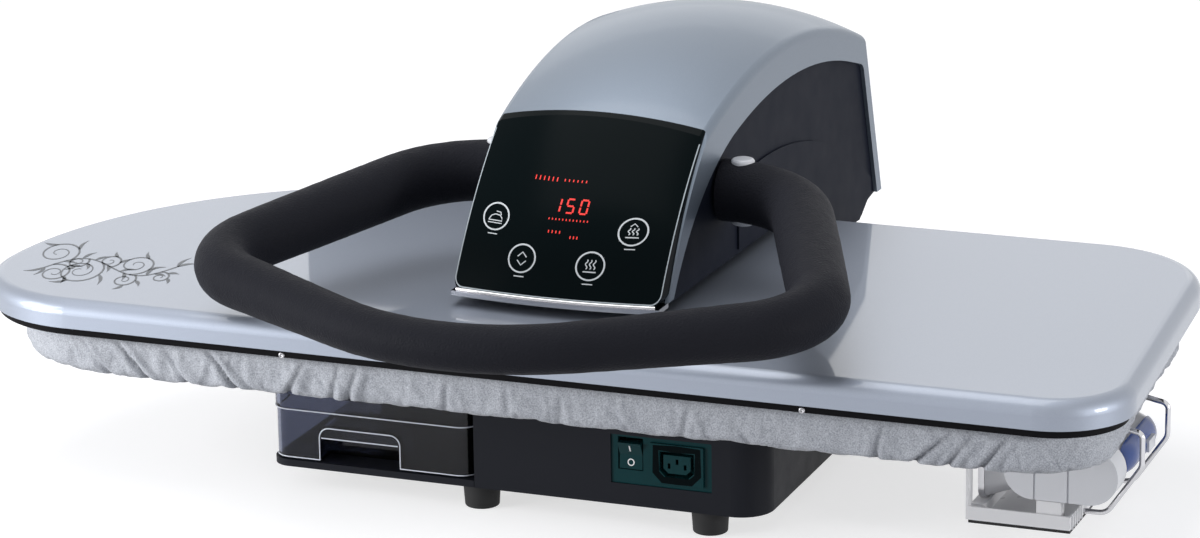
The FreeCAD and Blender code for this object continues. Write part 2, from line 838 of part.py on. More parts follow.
def handle_point(x, v):
    """A point of the handle's plane, v in front of the pivot."""
    return V(x, pivot_y - v * math.cos(tilt), pivot_z - v * math.sin(tilt))


def handle_path():
    half = [(tube_start_x, 0), (side_corner_x, 0), (tip_corner_x, tip_corner_v), (0, front_corner_v)]
    points = [handle_point(x, v) for x, v in half]
    points += [handle_point(-x, v) for x, v in half[-2::-1]]
    radii = [side_bend_radius, tip_bend_radius, front_bend_radius, tip_bend_radius, side_bend_radius]
    return bent_path(points, radii)


def handle_shaft():
    """Pivot shaft with a plug at each end that fills the loop's tube."""
    shaft = rod(V(-tube_start_x, pivot_y, pivot_z), V(tube_start_x, pivot_y, pivot_z), shaft_radius)
    core = tube_along(handle_path(), tube_radius - tube_wall - running_gap)
    reach = tube_start_x + shaft_plug
    ends = core.cut(block(-tube_start_x, tube_start_x, -500, 500, 0, 500))
    ends = ends.common(block(-reach, reach, pivot_y - 40, pivot_y + 40, 0, 500))
    return shaft.fuse(ends).cut(bolt_holes()).removeSplitter()


crank_radius = shaft_radius + 5.0


def handle_crank():
    """Crank cheeks keyed on the shaft, each with a pin that works in the yoke's slot."""
    cranks = []
    x0 = yoke_inner + yoke_gauge + 1.0
    for side in (-1, 1):
        inner = V(side * x0, pivot_y, pivot_z)
        outer = V(side * (x0 + crank_gauge), pivot_y, pivot_z)
        pin_in = V(side * (yoke_inner - 1), pin_y, pin_z)
        pin_out = V(side * (x0 + crank_gauge), pin_y, pin_z)
        cheek = rod(inner, outer, crank_radius)
        cheek = cheek.fuse(rod(V(inner.x, pin_y, pin_z), V(outer.x, pin_y, pin_z), crank_pin_radius + 3.5))
        cheek = cheek.fuse(rod(pin_in, pin_out, crank_pin_radius))
        cheek = cheek.cut(rod(inner, outer, shaft_radius))
        cranks.append(cheek.removeSplitter())
    return group(cranks)


def handle_tube():
    path = handle_path()
    tube = tube_along(path, tube_radius).cut(tube_along(path, tube_radius - tube_wall))
    return tube.cut(bolt_holes())


def ring_at(point, tangent, radius):
    """Closed ring of four quarter arcs square to the tangent."""
    up = V(0, -math.sin(tilt), math.cos(tilt))
    side = tangent.cross(up).normalize()
    spots = [point + (side * math.cos(k * math.pi / 4) + up * math.sin(k * math.pi / 4)) * radius
             for k in range(8)]
    return Part.Wire([arc(spots[2 * k], spots[2 * k + 1], spots[(2 * k + 2) % 8]) for k in range(4)])


def handle_grip():
    """Foam sleeve on the loop: thick at the roots, slimmer along the front bar."""
    path = handle_path()
    total = path.Length
    rings = []
    done = 0.0
    for edge in path.OrderedEdges:
        steps = 1 if edge.Curve.TypeId == "Part::GeomLine" else 3
        first, last = edge.FirstParameter, edge.LastParameter
        for k in range(steps):
            u = first + (last - first) * k / steps
            share = (done + edge.Length * k / steps) / total
            rings.append((share, edge.valueAt(u), edge.tangentAt(u)))
        done += edge.Length
    edge = path.OrderedEdges[-1]
    rings.append((1.0, edge.valueAt(edge.LastParameter), edge.tangentAt(edge.LastParameter)))
    wires = []
    for share, point, tangent in rings:
        slim = math.sin(math.pi * share) ** 4
        wires.append(ring_at(point, tangent, grip_root_radius + (grip_front_radius - grip_root_radius) * slim))
    sleeve = Part.makeLoft(wires, True, False)
    return sleeve.cut(tube_along(path, tube_radius)).cut(bolt_holes())


bolt_x = tube_start_x + 17.0
bolt_head_radius = 10.0
bolt_head_height = 5.0
bolt_seat = 2.2
bolt_radius = 4.0


def bolt_spots():
    return [V(side * bolt_x, pivot_y, pivot_z) for side in (-1, 1)]


def bolt_holes():
    """Room for both cross bolts: shank holes and spot faces in the foam."""
    rooms = []
    for spot in bolt_spots():
        seat = V(0, 0, grip_root_radius - bolt_seat)
        rooms.append(rod(spot - seat * 2, spot + seat * 2, bolt_radius))
        rooms.append(rod(spot + seat, spot + seat * 2, bolt_head_radius))
        rooms.append(rod(spot - seat, spot - seat * 2, bolt_head_radius))
    return group(rooms)


def handle_bolts():
    """Cross bolt through each root of the loop, with a domed head above and below."""
    bolts = []
    for spot in bolt_spots():
        seat = V(0, 0, grip_root_radius - bolt_seat)
        bolt = rod(spot - seat, spot + seat, bolt_radius)
        for way in (-1, 1):
            base = spot + seat * way
            head = rod(base, base + V(0, 0, way * bolt_head_height), bolt_head_radius)
            rim = [e for e in head.Edges if abs(e.BoundBox.Center.z - base.z) > bolt_head_height * 0.9]
            bolt = bolt.fuse(head.makeFillet(bolt_head_height * 0.6, rim))
        bolts.append(bolt.removeSplitter())
    return group(bolts)


# Bed: board, foam, cloth cover with its hem

board_inset = 11.5
bed_rib_gauge = 5.0
bed_rib_height = 6.0
bed_rib_y = 110.0


def bed_board():
    """Bed plate with stiffening ribs under the two overhanging ends."""
    board = pad_prism(board_inset, housing_top, board_top)
    for x0, x1 in ((platen_left + 160, base_left - 6), (base_right + 6, iron_sole_x - 20)):
        for y in (-bed_rib_y, bed_rib_y):
            rib = block(x0, x1, y - bed_rib_gauge / 2, y + bed_rib_gauge / 2,
                        housing_top - bed_rib_height, housing_top)
            board = board.fuse(rib)
    return board.removeSplitter()


def pad_foam():
    foam = pad_prism(foam_inset, board_top, board_top + foam_thickness)
    return foam.makeFillet(pad_edge_radius - 1, edges_at(foam, board_top + foam_thickness))


def gathered_ring(inset, z, depth):
    """The pad's outline with the cloth's gathers: arcs that swell out and fall in by turns."""
    ring = []
    way = 1
    for edge, whole in zip(pad_edges(inset, z), pad_edges(0, z)):
        count = max(1, round(whole.Length / gather_length))
        first = edge.FirstParameter
        step = (edge.LastParameter - first) / count
        for k in range(count):
            start, middle, end = [edge.valueAt(first + step * (k + part)) for part in (0, 0.5, 1)]
            outward = edge.tangentAt(first + step * (k + 0.5)).cross(V(0, 0, 1))
            middle = middle + outward * (depth * way)
            straight = depth == 0 and edge.Curve.TypeId == "Part::GeomLine"
            ring.append(line(start, end) if straight else arc(start, middle, end))
            way = -way
    return Part.Wire(ring)


def pad_skirt(inset):
    """Gathered skirt as a solid, its foot drawn in by the elastic in the hem."""
    return Part.makeLoft([gathered_ring(inset, skirt_top, 0),
                          gathered_ring(inset + waist_tuck, skirt_waist, gather_depth / 2),
                          gathered_ring(inset + hem_tuck, hem_height, gather_depth)], True, True)


def pad_cover():
    """Cloth over the foam: rounded top edge and a gathered skirt drawn in under the bed."""
    crown = pad_prism(0, skirt_top, cloth_top)
    crown = crown.makeFillet(pad_edge_radius, edges_at(crown, cloth_top))
    room = pad_prism(cloth_gauge, skirt_top, cloth_top - cloth_gauge)
    room = room.makeFillet(pad_edge_radius - 1, edges_at(room, cloth_top - cloth_gauge))
    cloth = crown.cut(room).fuse(pad_skirt(0).cut(pad_skirt(cloth_gauge)))
    seat = rounded_plan(base_left - soft_gap, base_right + soft_gap, base_front, base_rear,
                        [base_corner] * 4, hem_height - 1)
    return cloth.cut(prism(seat, housing_top + soft_gap - hem_height + 1)).removeSplitter()


# Base: housing, bottom plate, feet, tray

def base_outline(inset, z):
    r = base_corner - inset
    return rounded_plan(base_left + inset, base_right - inset, base_front + inset, base_rear - inset,
                        [tank_corner + tank_gap, r, r, r], z)


def base_housing():
    """Moulded shell, open below, with the tank bay let into its front left corner."""
    shell = prism(base_outline(0, housing_bottom), housing_top - housing_bottom)
    hollow = prism(base_outline(base_wall, housing_bottom), housing_top - base_wall - housing_bottom)
    hollow = hollow.cut(block(base_left - 10, bay_right + base_wall, base_front - 10, bay_rear + base_wall, 0, 400))
    shell = shell.cut(hollow)
    shell = shell.cut(block(base_left - 10, bay_right, base_front - 10, bay_rear, 0, bay_ceiling))
    shell = shell.cut(block(plate_left, plate_left + plate_width, base_front - 10, base_front + base_wall + 1,
                            plate_bottom, plate_bottom + plate_height))
    gland = rod(V(gland_x, base_rear - 20, gland_z), V(gland_x, base_rear + 20, gland_z), gland_radius)
    return shell.cut(gland)


def base_plate():
    plate = prism(base_outline(0, foot_height), base_plate_gauge)
    return plate.cut(block(base_left - 10, bay_right, base_front - 10, bay_rear, 0, 400))


def bay_tray():
    """Tray under the tank, with a rounded front corner like the tank's."""
    wire = rounded_plan(base_left, bay_right, base_front, bay_rear,
                        [tank_corner + tank_gap, 1.0, 1.0, 1.0], foot_height)
    return prism(wire, tray_height)


def feet():
    spots = [(front_foot_left, front_foot_y), (front_foot_right, front_foot_y),
             (base_left + rear_foot_inset, base_rear - rear_foot_inset),
             (base_right - rear_foot_inset, base_rear - rear_foot_inset)]
    pads = []
    for x, y in spots:
        pad = Part.makeCone(foot_radius - 1.5, foot_radius, foot_height, V(x, y, 0))
        pads.append(pad.makeFillet(1.5, edges_at(pad, 0)))
    return group(pads)


# Water tank, lid and valve

tank_left = base_left + tank_gap
tank_right = bay_right - tank_gap
tank_front = base_front + tank_gap
tank_bottom = foot_height + tray_height + 0.5
tank_top = tank_bottom + tank_height
lid_seat = tank_top - lid_height


def tank_prism(inset, z0, z1):
    r = tank_corner - inset
    wire = rounded_plan(tank_left + inset, tank_right - inset, tank_front + inset,
                        tank_front + tank_length - inset, [r, r, r, r], z0)
    return prism(wire, z1 - z0)


def finger_room(grow, y0, y1):
    """Recess for the fingers, rounded at its two upper edges, grown by grow."""
    width = grip_width + 2 * grow
    r = grip_corner + grow
    face = rounded_plan(grip_left - grow, grip_left - grow + width, -grip_height, grip_height + grow, [r] * 4, 0)
    room = Part.Face(face).extrude(V(0, 0, y1 - y0))
    room.rotate(V(0, 0, 0), V(1, 0, 0), 90)
    room.translate(V(0, y1, tank_bottom))
    return room


def water_tank():
    """Clear tank with a finger recess low in its front wall and a lip to pull on."""
    shell = tank_prism(tank_step, tank_bottom, lid_seat)
    shell = shell.makeFillet(tank_foot_radius, edges_at(shell, tank_bottom))
    inside = tank_step + tank_wall
    hollow = tank_prism(inside, tank_bottom + tank_wall, lid_seat)
    shell = shell.cut(hollow.cut(finger_room(tank_wall, tank_front, tank_front + grip_depth + tank_wall)))
    lip = block(grip_left, grip_left + grip_width, tank_front, tank_front + inside,
                tank_bottom + grip_height - grip_lip, tank_bottom + grip_height)
    return shell.cut(finger_room(0, tank_front - 1, tank_front + grip_depth).cut(lip))


cap_radius = 26.0
cap_height = 3.0
cap_y = 71.0


def tank_lid():
    """Clear lid with a round filler cap; it overhangs the tank by a small step."""
    lid = tank_prism(0, lid_seat, tank_top - cap_height)
    lid = lid.makeFillet(lid_edge_radius, edges_at(lid, tank_top - cap_height))
    lid = lid.cut(tank_prism(tank_step + tank_wall, lid_seat, tank_top - cap_height - tank_wall))
    middle = V((tank_left + tank_right) / 2, tank_front + cap_y, tank_top - cap_height)
    return lid.fuse(Part.makeCylinder(cap_radius, cap_height, middle)).removeSplitter()


valve_radius = 9.0
valve_length = 24.0
valve_x = -108.0
valve_y = tank_front + tank_length - 56.0


def tank_valve():
    """Outlet valve hanging from the lid into the tank."""
    top = tank_top - cap_height - tank_wall
    body = Part.makeCylinder(valve_radius, valve_length, V(valve_x, valve_y, top - valve_length))
    return body.cut(Part.makeCylinder(valve_radius - 3, valve_length - 4, V(valve_x, valve_y, top - valve_length)))


dock_width = 36.0
dock_height = 30.0
dock_low = 10.0
dock_nose = 2.0
dock_nose_radius = 8.0


def water_dock():
    """Block on the back wall of the bay that takes the tank's water."""
    x0 = valve_x - dock_width / 2
    front = tank_front + tank_length + tank_gap
    low = tank_bottom + dock_low
    dock = block(x0, x0 + dock_width, front + dock_nose, bay_rear, low, low + dock_height)
    middle = V(valve_x, front, low + dock_height / 3)
    nose = rod(middle, middle + V(0, dock_nose, 0), dock_nose_radius)
    return dock.fuse(nose).removeSplitter()


# Inside the base: boiler, pump, control board; gland at the back

boiler_radius = 32.0
boiler_length = 170.0
boiler_y = 190.0
boiler_left = -30.0
saddle_gauge = 6.0
gland_x = 120.0
gland_z = 62.0
gland_radius = 9.0


def boiler():
    """Steam boiler with domed ends on two saddles."""
    z = housing_bottom + boiler_radius + 4
    start = V(boiler_left, boiler_y, z)
    drum = rod(start, start + V(boiler_length, 0, 0), boiler_radius)
    drum = drum.makeFillet(12.0, [e for e in drum.Edges if e.BoundBox.XLength < 0.01])
    for x in (boiler_left + 30, boiler_left + boiler_length - 30 - saddle_gauge):
        saddle = block(x, x + saddle_gauge, boiler_y - 24, boiler_y + 24, housing_bottom, z)
        drum = drum.fuse(saddle)
    return drum.removeSplitter()


pump_radius = 17.0
pump_clear = 28.0
pump_length = 60.0
pump_foot = 20.0
outlet_length = 22.0
outlet_radius = 10.0
inlet_length = 16.0
inlet_radius = 5.0

circuit_left = 20.0
circuit_width = 150.0
circuit_half = 60.0
circuit_height = 12.0
pillar_inset = 8.0
pillar_radius = 3.5
relay_size = 40.0
relay_height = 26.0
fuse_length = 40.0
fuse_width = 30.0
fuse_height = 20.0


def water_pump():
    """Vibrating pump: coil body, outlet on the right, inlet on the left, foot below."""
    z = housing_bottom + pump_radius + 3
    y = bay_rear + pump_clear
    half = pump_length / 2
    body = rod(V(-half, y, z), V(half, y, z), pump_radius)
    body = body.fuse(rod(V(half, y, z), V(half + outlet_length, y, z), outlet_radius))
    body = body.fuse(rod(V(-half - inlet_length, y, z), V(-half, y, z), inlet_radius))
    foot = block(-pump_foot, pump_foot, y - pump_radius + 3, y + pump_radius - 3, housing_bottom, z)
    return body.fuse(foot).removeSplitter()


def control_board():
    """Power board on four pillars, with its transformer and its fuse block."""
    z = housing_bottom + circuit_height
    right = circuit_left + circuit_width
    board = block(circuit_left, right, -circuit_half, circuit_half, z, z + board_gauge)
    for x in (circuit_left + pillar_inset, right - pillar_inset):
        for y in (-circuit_half + pillar_inset, circuit_half - pillar_inset):
            board = board.fuse(Part.makeCylinder(pillar_radius, circuit_height, V(x, y, housing_bottom)))
    top = z + board_gauge
    board = board.fuse(block(circuit_left + 20, circuit_left + 20 + relay_size, -relay_size / 2, relay_size / 2,
                             top, top + relay_height))
    board = board.fuse(block(right - 20 - fuse_length, right - 20, -fuse_width / 2, fuse_width / 2,
                             top, top + fuse_height))
    return board.removeSplitter()


def mains_gland():
    """Cable gland in the back wall; no cord is fitted."""
    start = V(gland_x, base_rear - base_wall, gland_z)
    ring = rod(start, start + V(0, base_wall, 0), gland_radius)
    flange = rod(start + V(0, base_wall, 0), start + V(0, base_wall + 3, 0), gland_radius + 4)
    sleeve = rod(start + V(0, base_wall + 3, 0), start + V(0, base_wall + 22, 0), gland_radius - 1)
    bore = rod(start + V(0, -1, 0), start + V(0, base_wall + 30, 0), 4.2)
    return ring.fuse(flange).fuse(sleeve).cut(bore).removeSplitter()


# Front switch plate, rocker switch, outlet socket

rocker_pivot_y = base_front + plate_recess + plate_gauge + 3.0


def switch_plate():
    """Recessed plate with openings for the rocker and the socket."""
    y0 = base_front + plate_recess
    plate = block(plate_left, plate_left + plate_width, y0, base_front + base_wall + 1,
                  plate_bottom, plate_bottom + plate_height)
    half_w = rocker_width / 2 + rocker_slack
    half_h = rocker_height / 2 + 2 * rocker_slack
    plate = plate.cut(block(rocker_centre_x - half_w, rocker_centre_x + half_w, y0 - 5, y0 + 20,
                            rocker_centre_z - half_h, rocker_centre_z + half_h))
    cup = block(rocker_centre_x - half_w - 2, rocker_centre_x + half_w + 2, base_front + base_wall + 1,
                rocker_pivot_y + 14, rocker_centre_z - half_h - 2, rocker_centre_z + half_h + 2)
    cup = cup.cut(block(rocker_centre_x - half_w, rocker_centre_x + half_w, base_front, rocker_pivot_y + 12,
                        rocker_centre_z - half_h, rocker_centre_z + half_h))
    plate = plate.fuse(cup)
    bore = rod(V(rocker_centre_x - half_w - 3, rocker_pivot_y, rocker_centre_z),
               V(rocker_centre_x + half_w + 3, rocker_pivot_y, rocker_centre_z), rocker_pin_radius + running_gap)
    return plate.cut(bore).cut(socket_block(0)).removeSplitter()


rocker_pin_radius = 1.5


def rocker():
    """Rocker button, resting on its lower half."""
    h = rocker_height / 2
    body = slab([(-8.0, h), (-5.0, 0), (-8.0, -h), (4.0, -h + 3), (7.0, 0), (4.0, h - 3)], rocker_width)
    half_w = rocker_width / 2 + rocker_slack + 1.5
    body = body.fuse(rod(V(-half_w, 0, 0), V(half_w, 0, 0), rocker_pin_radius))
    body.rotate(V(0, 0, 0), V(1, 0, 0), rocker_tilt)
    body.translate(V(rocker_centre_x, rocker_pivot_y, rocker_centre_z))
    return body.removeSplitter()


def socket_block(inset):
    return block(socket_centre_x - socket_width / 2 + inset, socket_centre_x + socket_width / 2 - inset,
                 base_front - 1.0, base_front - 1.0 + socket_depth,
                 socket_centre_z - socket_height / 2 + inset, socket_centre_z + socket_height / 2 - inset)


def six_sided(width, height, cut, y0, y1):
    """Rectangle with its two lower corners cut off, as on a three-pole appliance outlet."""
    w, h = width / 2, height / 2
    points = [(-w, h), (w, h), (w, -h + cut), (w - cut, -h), (-w + cut, -h), (-w, -h + cut)]
    face = polygon([V(socket_centre_x + x, y0, socket_centre_z + z) for x, z in points])
    return face.extrude(V(0, y1 - y0, 0))


outlet_width = 30.0
outlet_height = 21.5
core_width = 23.6
core_height = 15.6
outlet_depth = 15.0
slot_wide = 4.6
slot_thin = 2.4


def iron_socket():
    """Three-pole outlet for the iron: recess with a slotted core."""
    front = base_front - 1.0
    body = socket_block(0)
    body = body.cut(six_sided(outlet_width, outlet_height, 5.0, front - 1, front + outlet_depth))
    core = six_sided(core_width, core_height, 4.0, front + 1, front + outlet_depth)
    for x, z in ((-7.0, -1.5), (0.0, 2.5), (7.0, -1.5)):
        core = core.cut(block(socket_centre_x + x - slot_thin / 2, socket_centre_x + x + slot_thin / 2,
                              front, front + 12, socket_centre_z + z - slot_wide / 2,
                              socket_centre_z + z + slot_wide / 2))
    return body.fuse(core).removeSplitter()


# Rear hinge: towers on the base, shaft, counterbalance springs

def hinge_towers():
    towers = []
    for side in (-1, 1):
        half = tower_depth / 2
        face = Part.Face(Part.Wire([
            line(V(0, hinge_y - half - 14, housing_top), V(0, base_rear - 2, housing_top)),
            line(V(0, base_rear - 2, housing_top), V(0, hinge_y + 18, hinge_z)),
            arc(V(0, hinge_y + 18, hinge_z), V(0, hinge_y, hinge_z + 18), V(0, hinge_y - 18, hinge_z)),
            line(V(0, hinge_y - 18, hinge_z), V(0, hinge_y - half - 14, housing_top))]))
        plate = face.extrude(V(tower_gauge, 0, 0))
        plate.translate(V(tower_inner if side > 0 else -tower_inner - tower_gauge, 0, 0))
        plate = plate.cut(rod(V(-200, hinge_y, hinge_z), V(200, hinge_y, hinge_z), hinge_shaft_radius))
        towers.append(plate)
    return group(towers)


shaft_head = 3.0
spring_wall = 5.0
spring_length = 34.0
spring_gap = 4.0


def counterbalance_springs():
    """Torsion springs on the hinge shaft, as plain sleeves: they are hidden inside the head."""
    springs = []
    for side in (-1, 1):
        start = V(side * spring_gap, hinge_y, hinge_z)
        end = start + V(side * spring_length, 0, 0)
        sleeve = rod(start, end, hinge_shaft_radius + soft_gap + spring_wall)
        springs.append(sleeve.cut(rod(start, end, hinge_shaft_radius + soft_gap)))
    return group(springs)


def hinge_shaft():
    reach = tower_inner + tower_gauge
    shaft = rod(V(-reach, hinge_y, hinge_z), V(reach, hinge_y, hinge_z), hinge_shaft_radius)
    for side in (-1, 1):
        start = V(side * reach, hinge_y, hinge_z)
        shaft = shaft.fuse(rod(start, start + V(side * shaft_head, 0, 0), hinge_shaft_radius + 4))
    return shaft.removeSplitter()


# Iron cradle

tray_clear = 1.5
tray_left = iron_sole_x - 4.0
tray_right = iron_sole_x + 81.0
tray_front = iron_heel_y - heel_gauge - tray_clear - tray_gauge
tray_length = 150.0
lip_height = 9.2
rest_height = 9.5
rest_width = 12.0
saddle_left = 52.0
saddle_width = 20.0
saddle_depth = 12.0
strap_width = 12.0
rib_count = 5
rib_pitch = 7.0
rib_size = 1.6
strip_width = 5.0
strip_gauge = 2.5
floor_top = iron_centre_z - iron_half_width - soft_gap - rest_height
tray_z = floor_top - tray_gauge


def cradle_tray():
    """Tray under the iron with a front lip and a ribbed right wall, hung from the bed board on two straps."""
    rear = tray_front + tray_length
    lip_top = floor_top + lip_height
    tray = block(tray_left, tray_right, tray_front, rear, tray_z, floor_top)
    tray = tray.fuse(block(tray_left, tray_right, tray_front, tray_front + tray_gauge, tray_z, lip_top))
    tray = tray.fuse(block(tray_right - tray_gauge, tray_right, tray_front, rear, tray_z, lip_top))
    for i in range(rib_count):
        y = tray_front + rib_pitch / 2 + i * rib_pitch
        tray = tray.fuse(block(tray_right, tray_right + rib_size, y, y + rib_size, tray_z, lip_top))
    rest_top = floor_top + rest_height
    tray = tray.fuse(block(tray_left, tray_left + rest_width, tray_front + 8, rear, floor_top, rest_top))
    saddle_y = tray_front + tray_gauge + 1
    tray = tray.fuse(block(iron_sole_x + saddle_left, iron_sole_x + saddle_left + saddle_width, saddle_y,
                           saddle_y + saddle_depth, floor_top, iron_centre_z - heel_half - soft_gap))
    for y in (tray_front, rear - strap_width):
        tray = tray.fuse(block(tray_left - tray_gauge, tray_left, y, y + strap_width, tray_z, housing_top))
    return tray.removeSplitter()


def cradle_strip():
    """Black strip under the front and right edges of the tray."""
    low = tray_z - strip_gauge
    strip = block(tray_left, tray_right, tray_front, tray_front + strip_width, low, tray_z)
    strip = strip.fuse(block(tray_right - strip_width, tray_right, tray_front, tray_front + tray_length, low, tray_z))
    return strip.removeSplitter()


wire_bend = 12.0
wire_foot = 19.0
wire_hook = 60.0
wire_tail = 30.0
wire_front_inset = 42.0
wire_rear_inset = 25.0


def cradle_wires():
    """Bright wires from the tray's right wall, out and up past the iron's handle, hooked under the bed board."""
    wires = []
    x1 = iron_sole_x + iron_height + button_proud + iron_wire_gap + wire_radius
    z0 = tray_z + wire_radius + 1
    board_z = housing_top - wire_radius
    for y in (tray_front + wire_front_inset, tray_front + tray_length - wire_rear_inset):
        points = [V(tray_right, y, z0), V(tray_right + wire_foot, y, z0), V(x1, y, iron_centre_z),
                  V(x1, y, board_z - wire_bend), V(x1 - wire_hook, y, board_z),
                  V(x1 - wire_hook - wire_tail, y, board_z)]
        wires.append(tube_along(bent_path(points, [wire_bend, wire_bend, wire_bend * 0.5, wire_bend]), wire_radius))
    return group(wires)


# Hand iron, drawn with h up from the sole (towards +X), y along it and w across it (towards +Z)

nose_half = 5.0


def iron_point(h, y, w):
    return V(iron_sole_x + h, iron_heel_y + y, iron_centre_z + w)


def sole_wire(h, inset, pull):
    """Outline of the iron seen from below: flat heel, full sides, pointed nose."""
    w = iron_half_width - inset
    r = 12.0
    heel = inset
    nose = iron_length - inset - pull
    half = [(heel, w - r), (heel + r * 0.3, w - r * 0.3), (heel + r, w)]
    side = [(heel + r, w), (nose * 0.35, w), (nose * 0.74, w * 0.60), (nose - 6, nose_half)]
    p = lambda y, w_: iron_point(h, y, w_)
    edges = [line(p(heel, -(w - r)), p(heel, w - r)),
             arc(*[p(*q) for q in half]),
             line(p(*side[0]), p(*side[1])),
             arc(*[p(*q) for q in side[1:]]),
             arc(p(nose - 6, nose_half), p(nose, 0), p(nose - 6, -nose_half)),
             arc(*[p(y, -w_) for y, w_ in side[:0:-1]]),
             line(p(side[1][0], -w), p(side[0][0], -w)),
             arc(*[p(y, -w_) for y, w_ in half[::-1]])]
    return Part.Wire(edges)


def iron_sole():
    return Part.Face(sole_wire(0, 0, 0)).extrude(V(sole_gauge, 0, 0))


body_inset_low = 1.5
body_inset_high = 13.0
nose_pull = 26.0


def iron_body():
    """White body drawn in from the sole to the saddle that carries the handle."""
    low = sole_wire(sole_gauge, body_inset_low, 0)
    high = sole_wire(sole_gauge + skirt_height, body_inset_high, nose_pull)
    return Part.makeLoft([low, high], True, True)


bar_h = iron_height - handle_bar_radius
bar_rear = 28.0
bar_front = 150.0
bar_bend = 26.0
body_top_h = sole_gauge + skirt_height


def iron_handle():
    """Closed grip over the body."""
    bar = tube_along(bar_path(), handle_bar_radius)
    floor = iron_height + button_proud - button_height - button_travel - soft_gap
    return bar.cut(iron_body()).cut(button_block(soft_gap, floor, iron_height + 1))


heel_low = 24.0
heel_reach = 17.0
heel_seat = 6.0
groove_width = 1.6
groove_depth = 1.2
heel_grooves = (49.0, 77.0)


def iron_heel():
    """Heel cap shaped like a capsule with two grooves; its upper half is deeper and carries the handle."""
    r = heel_half
    h0 = heel_low + r
    h1 = iron_height + 1 - r
    wire = Part.Wire([
        line(iron_point(h0, -heel_gauge, -r), iron_point(h1, -heel_gauge, -r)),
        arc(iron_point(h1, -heel_gauge, -r), iron_point(h1 + r, -heel_gauge, 0), iron_point(h1, -heel_gauge, r)),
        line(iron_point(h1, -heel_gauge, r), iron_point(h0, -heel_gauge, r)),
        arc(iron_point(h0, -heel_gauge, r), iron_point(heel_low, -heel_gauge, 0), iron_point(h0, -heel_gauge, -r))])
    cap = Part.Face(wire).extrude(V(0, heel_gauge + heel_seat, 0))
    drum = Part.Face(wire).extrude(V(0, heel_gauge + heel_reach, 0))
    cap = cap.fuse(drum.common(block(iron_sole_x + heel_grooves[1], 900, -900, 900, 0, 900)))
    for h in heel_grooves:
        x = iron_sole_x + h
        y = iron_heel_y - heel_gauge
        cap = cap.cut(block(x, x + groove_width, y - 1, y + groove_depth, 0, 400))
    return cap.cut(iron_body()).cut(iron_handle()).removeSplitter()


def iron_tank():
    """Blue water tank in front of the handle."""
    low = sole_wire(body_top_h, body_inset_high + 2, nose_pull + 4)
    high = sole_wire(body_top_h + 22, body_inset_high + 10, nose_pull + 34)
    tank = Part.makeLoft([low, high], True, True)
    front = bar_front - 42
    tank = tank.common(block(0, 900, iron_heel_y + front, 900, 0, 400))
    return tank.cut(iron_handle())


dial_radius = 15.0
dial_height = 9.0
dial_y = 78.0


def iron_dial():
    start = iron_point(body_top_h + soft_gap, dial_y, 0)
    return rod(start, start + V(dial_height, 0, 0), dial_radius)


button_width = 10.0
button_length = 20.0
button_travel = 3.0
button_height = 6.5
button_proud = 3.5
button_y = 80.0


grip_strip_gauge = 1.5


def bar_path():
    """Middle line of the iron's grip: rear leg, bar and sloping front leg."""
    points = [iron_point(body_top_h - 8, bar_rear, 0), iron_point(bar_h, bar_rear, 0),
              iron_point(bar_h, bar_front - 25, 0), iron_point(body_top_h - 8, bar_front, 0)]
    return bent_path(points, [bar_bend, bar_bend])


def iron_grip():
    """Blue soft strip along the outer side of the bar."""
    outer = tube_along(bar_path(), handle_bar_radius + grip_strip_gauge)
    strip = outer.cut(tube_along(bar_path(), handle_bar_radius))
    strip = strip.common(block(iron_sole_x + bar_h + 4, 900, -900, 900, 0, 900))
    return strip.cut(iron_heel()).cut(button_block(soft_gap, 0, iron_height + 20)).removeSplitter()


def button_block(gap, low, high):
    """The steam button's plan, grown by gap, between two heights above the sole."""
    return block(iron_sole_x + low, iron_sole_x + high, iron_heel_y + button_y - gap,
                 iron_heel_y + button_y + button_length + gap,
                 iron_centre_z - button_width / 2 - gap, iron_centre_z + button_width / 2 + gap)


def iron_button():
    """Steam button let into the top of the bar."""
    return button_block(0, iron_height + button_proud - button_height, iron_height + button_proud)


save("platen_cover", platen_cover())
save("insulating_band", insulating_band())
save("sole_plate", sole_plate())
save("heating_element", heating_element())
save("platen_yoke", platen_yoke())
save("guide_posts", guide_posts())
save("swing_arm", swing_arm())
save("guide_bushes", guide_bushes())
save("hinge_bushes", hinge_bushes())
save("hood", hood())
save("side_panel_left", side_panel(-1))
save("side_panel_right", side_panel(1))
save("fascia", fascia())
save("fascia_strip", fascia_strip())
save("display_board", display_board())
save("head_pan", head_pan())
save("handle_shaft", handle_shaft())
save("handle_crank", handle_crank())
save("handle_tube", handle_tube())
save("handle_grip", handle_grip())
save("handle_bolts", handle_bolts())
save("bed_board", bed_board())
save("pad_foam", pad_foam())
save("pad_cover", pad_cover())
save("base_housing", base_housing())
save("base_plate", base_plate())
save("bay_tray", bay_tray())
save("feet", feet())
save("water_tank", water_tank())
save("tank_lid", tank_lid())
save("tank_valve", tank_valve())
save("water_dock", water_dock())
save("boiler", boiler())
save("water_pump", water_pump())
save("control_board", control_board())
save("mains_gland", mains_gland())
save("switch_plate", switch_plate())
save("rocker", rocker())
save("iron_socket", iron_socket())
save("hinge_towers", hinge_towers())
save("hinge_shaft", hinge_shaft())
save("counterbalance_springs", counterbalance_springs())
save("cradle_tray", cradle_tray())
save("cradle_strip", cradle_strip())
save("cradle_wires", cradle_wires())
save("iron_sole", iron_sole())
save("iron_body", iron_body())
save("iron_handle", iron_handle())
save("iron_heel", iron_heel())
save("iron_grip", iron_grip())
save("iron_tank", iron_tank())
save("iron_dial", iron_dial())
save("iron_button", iron_button())
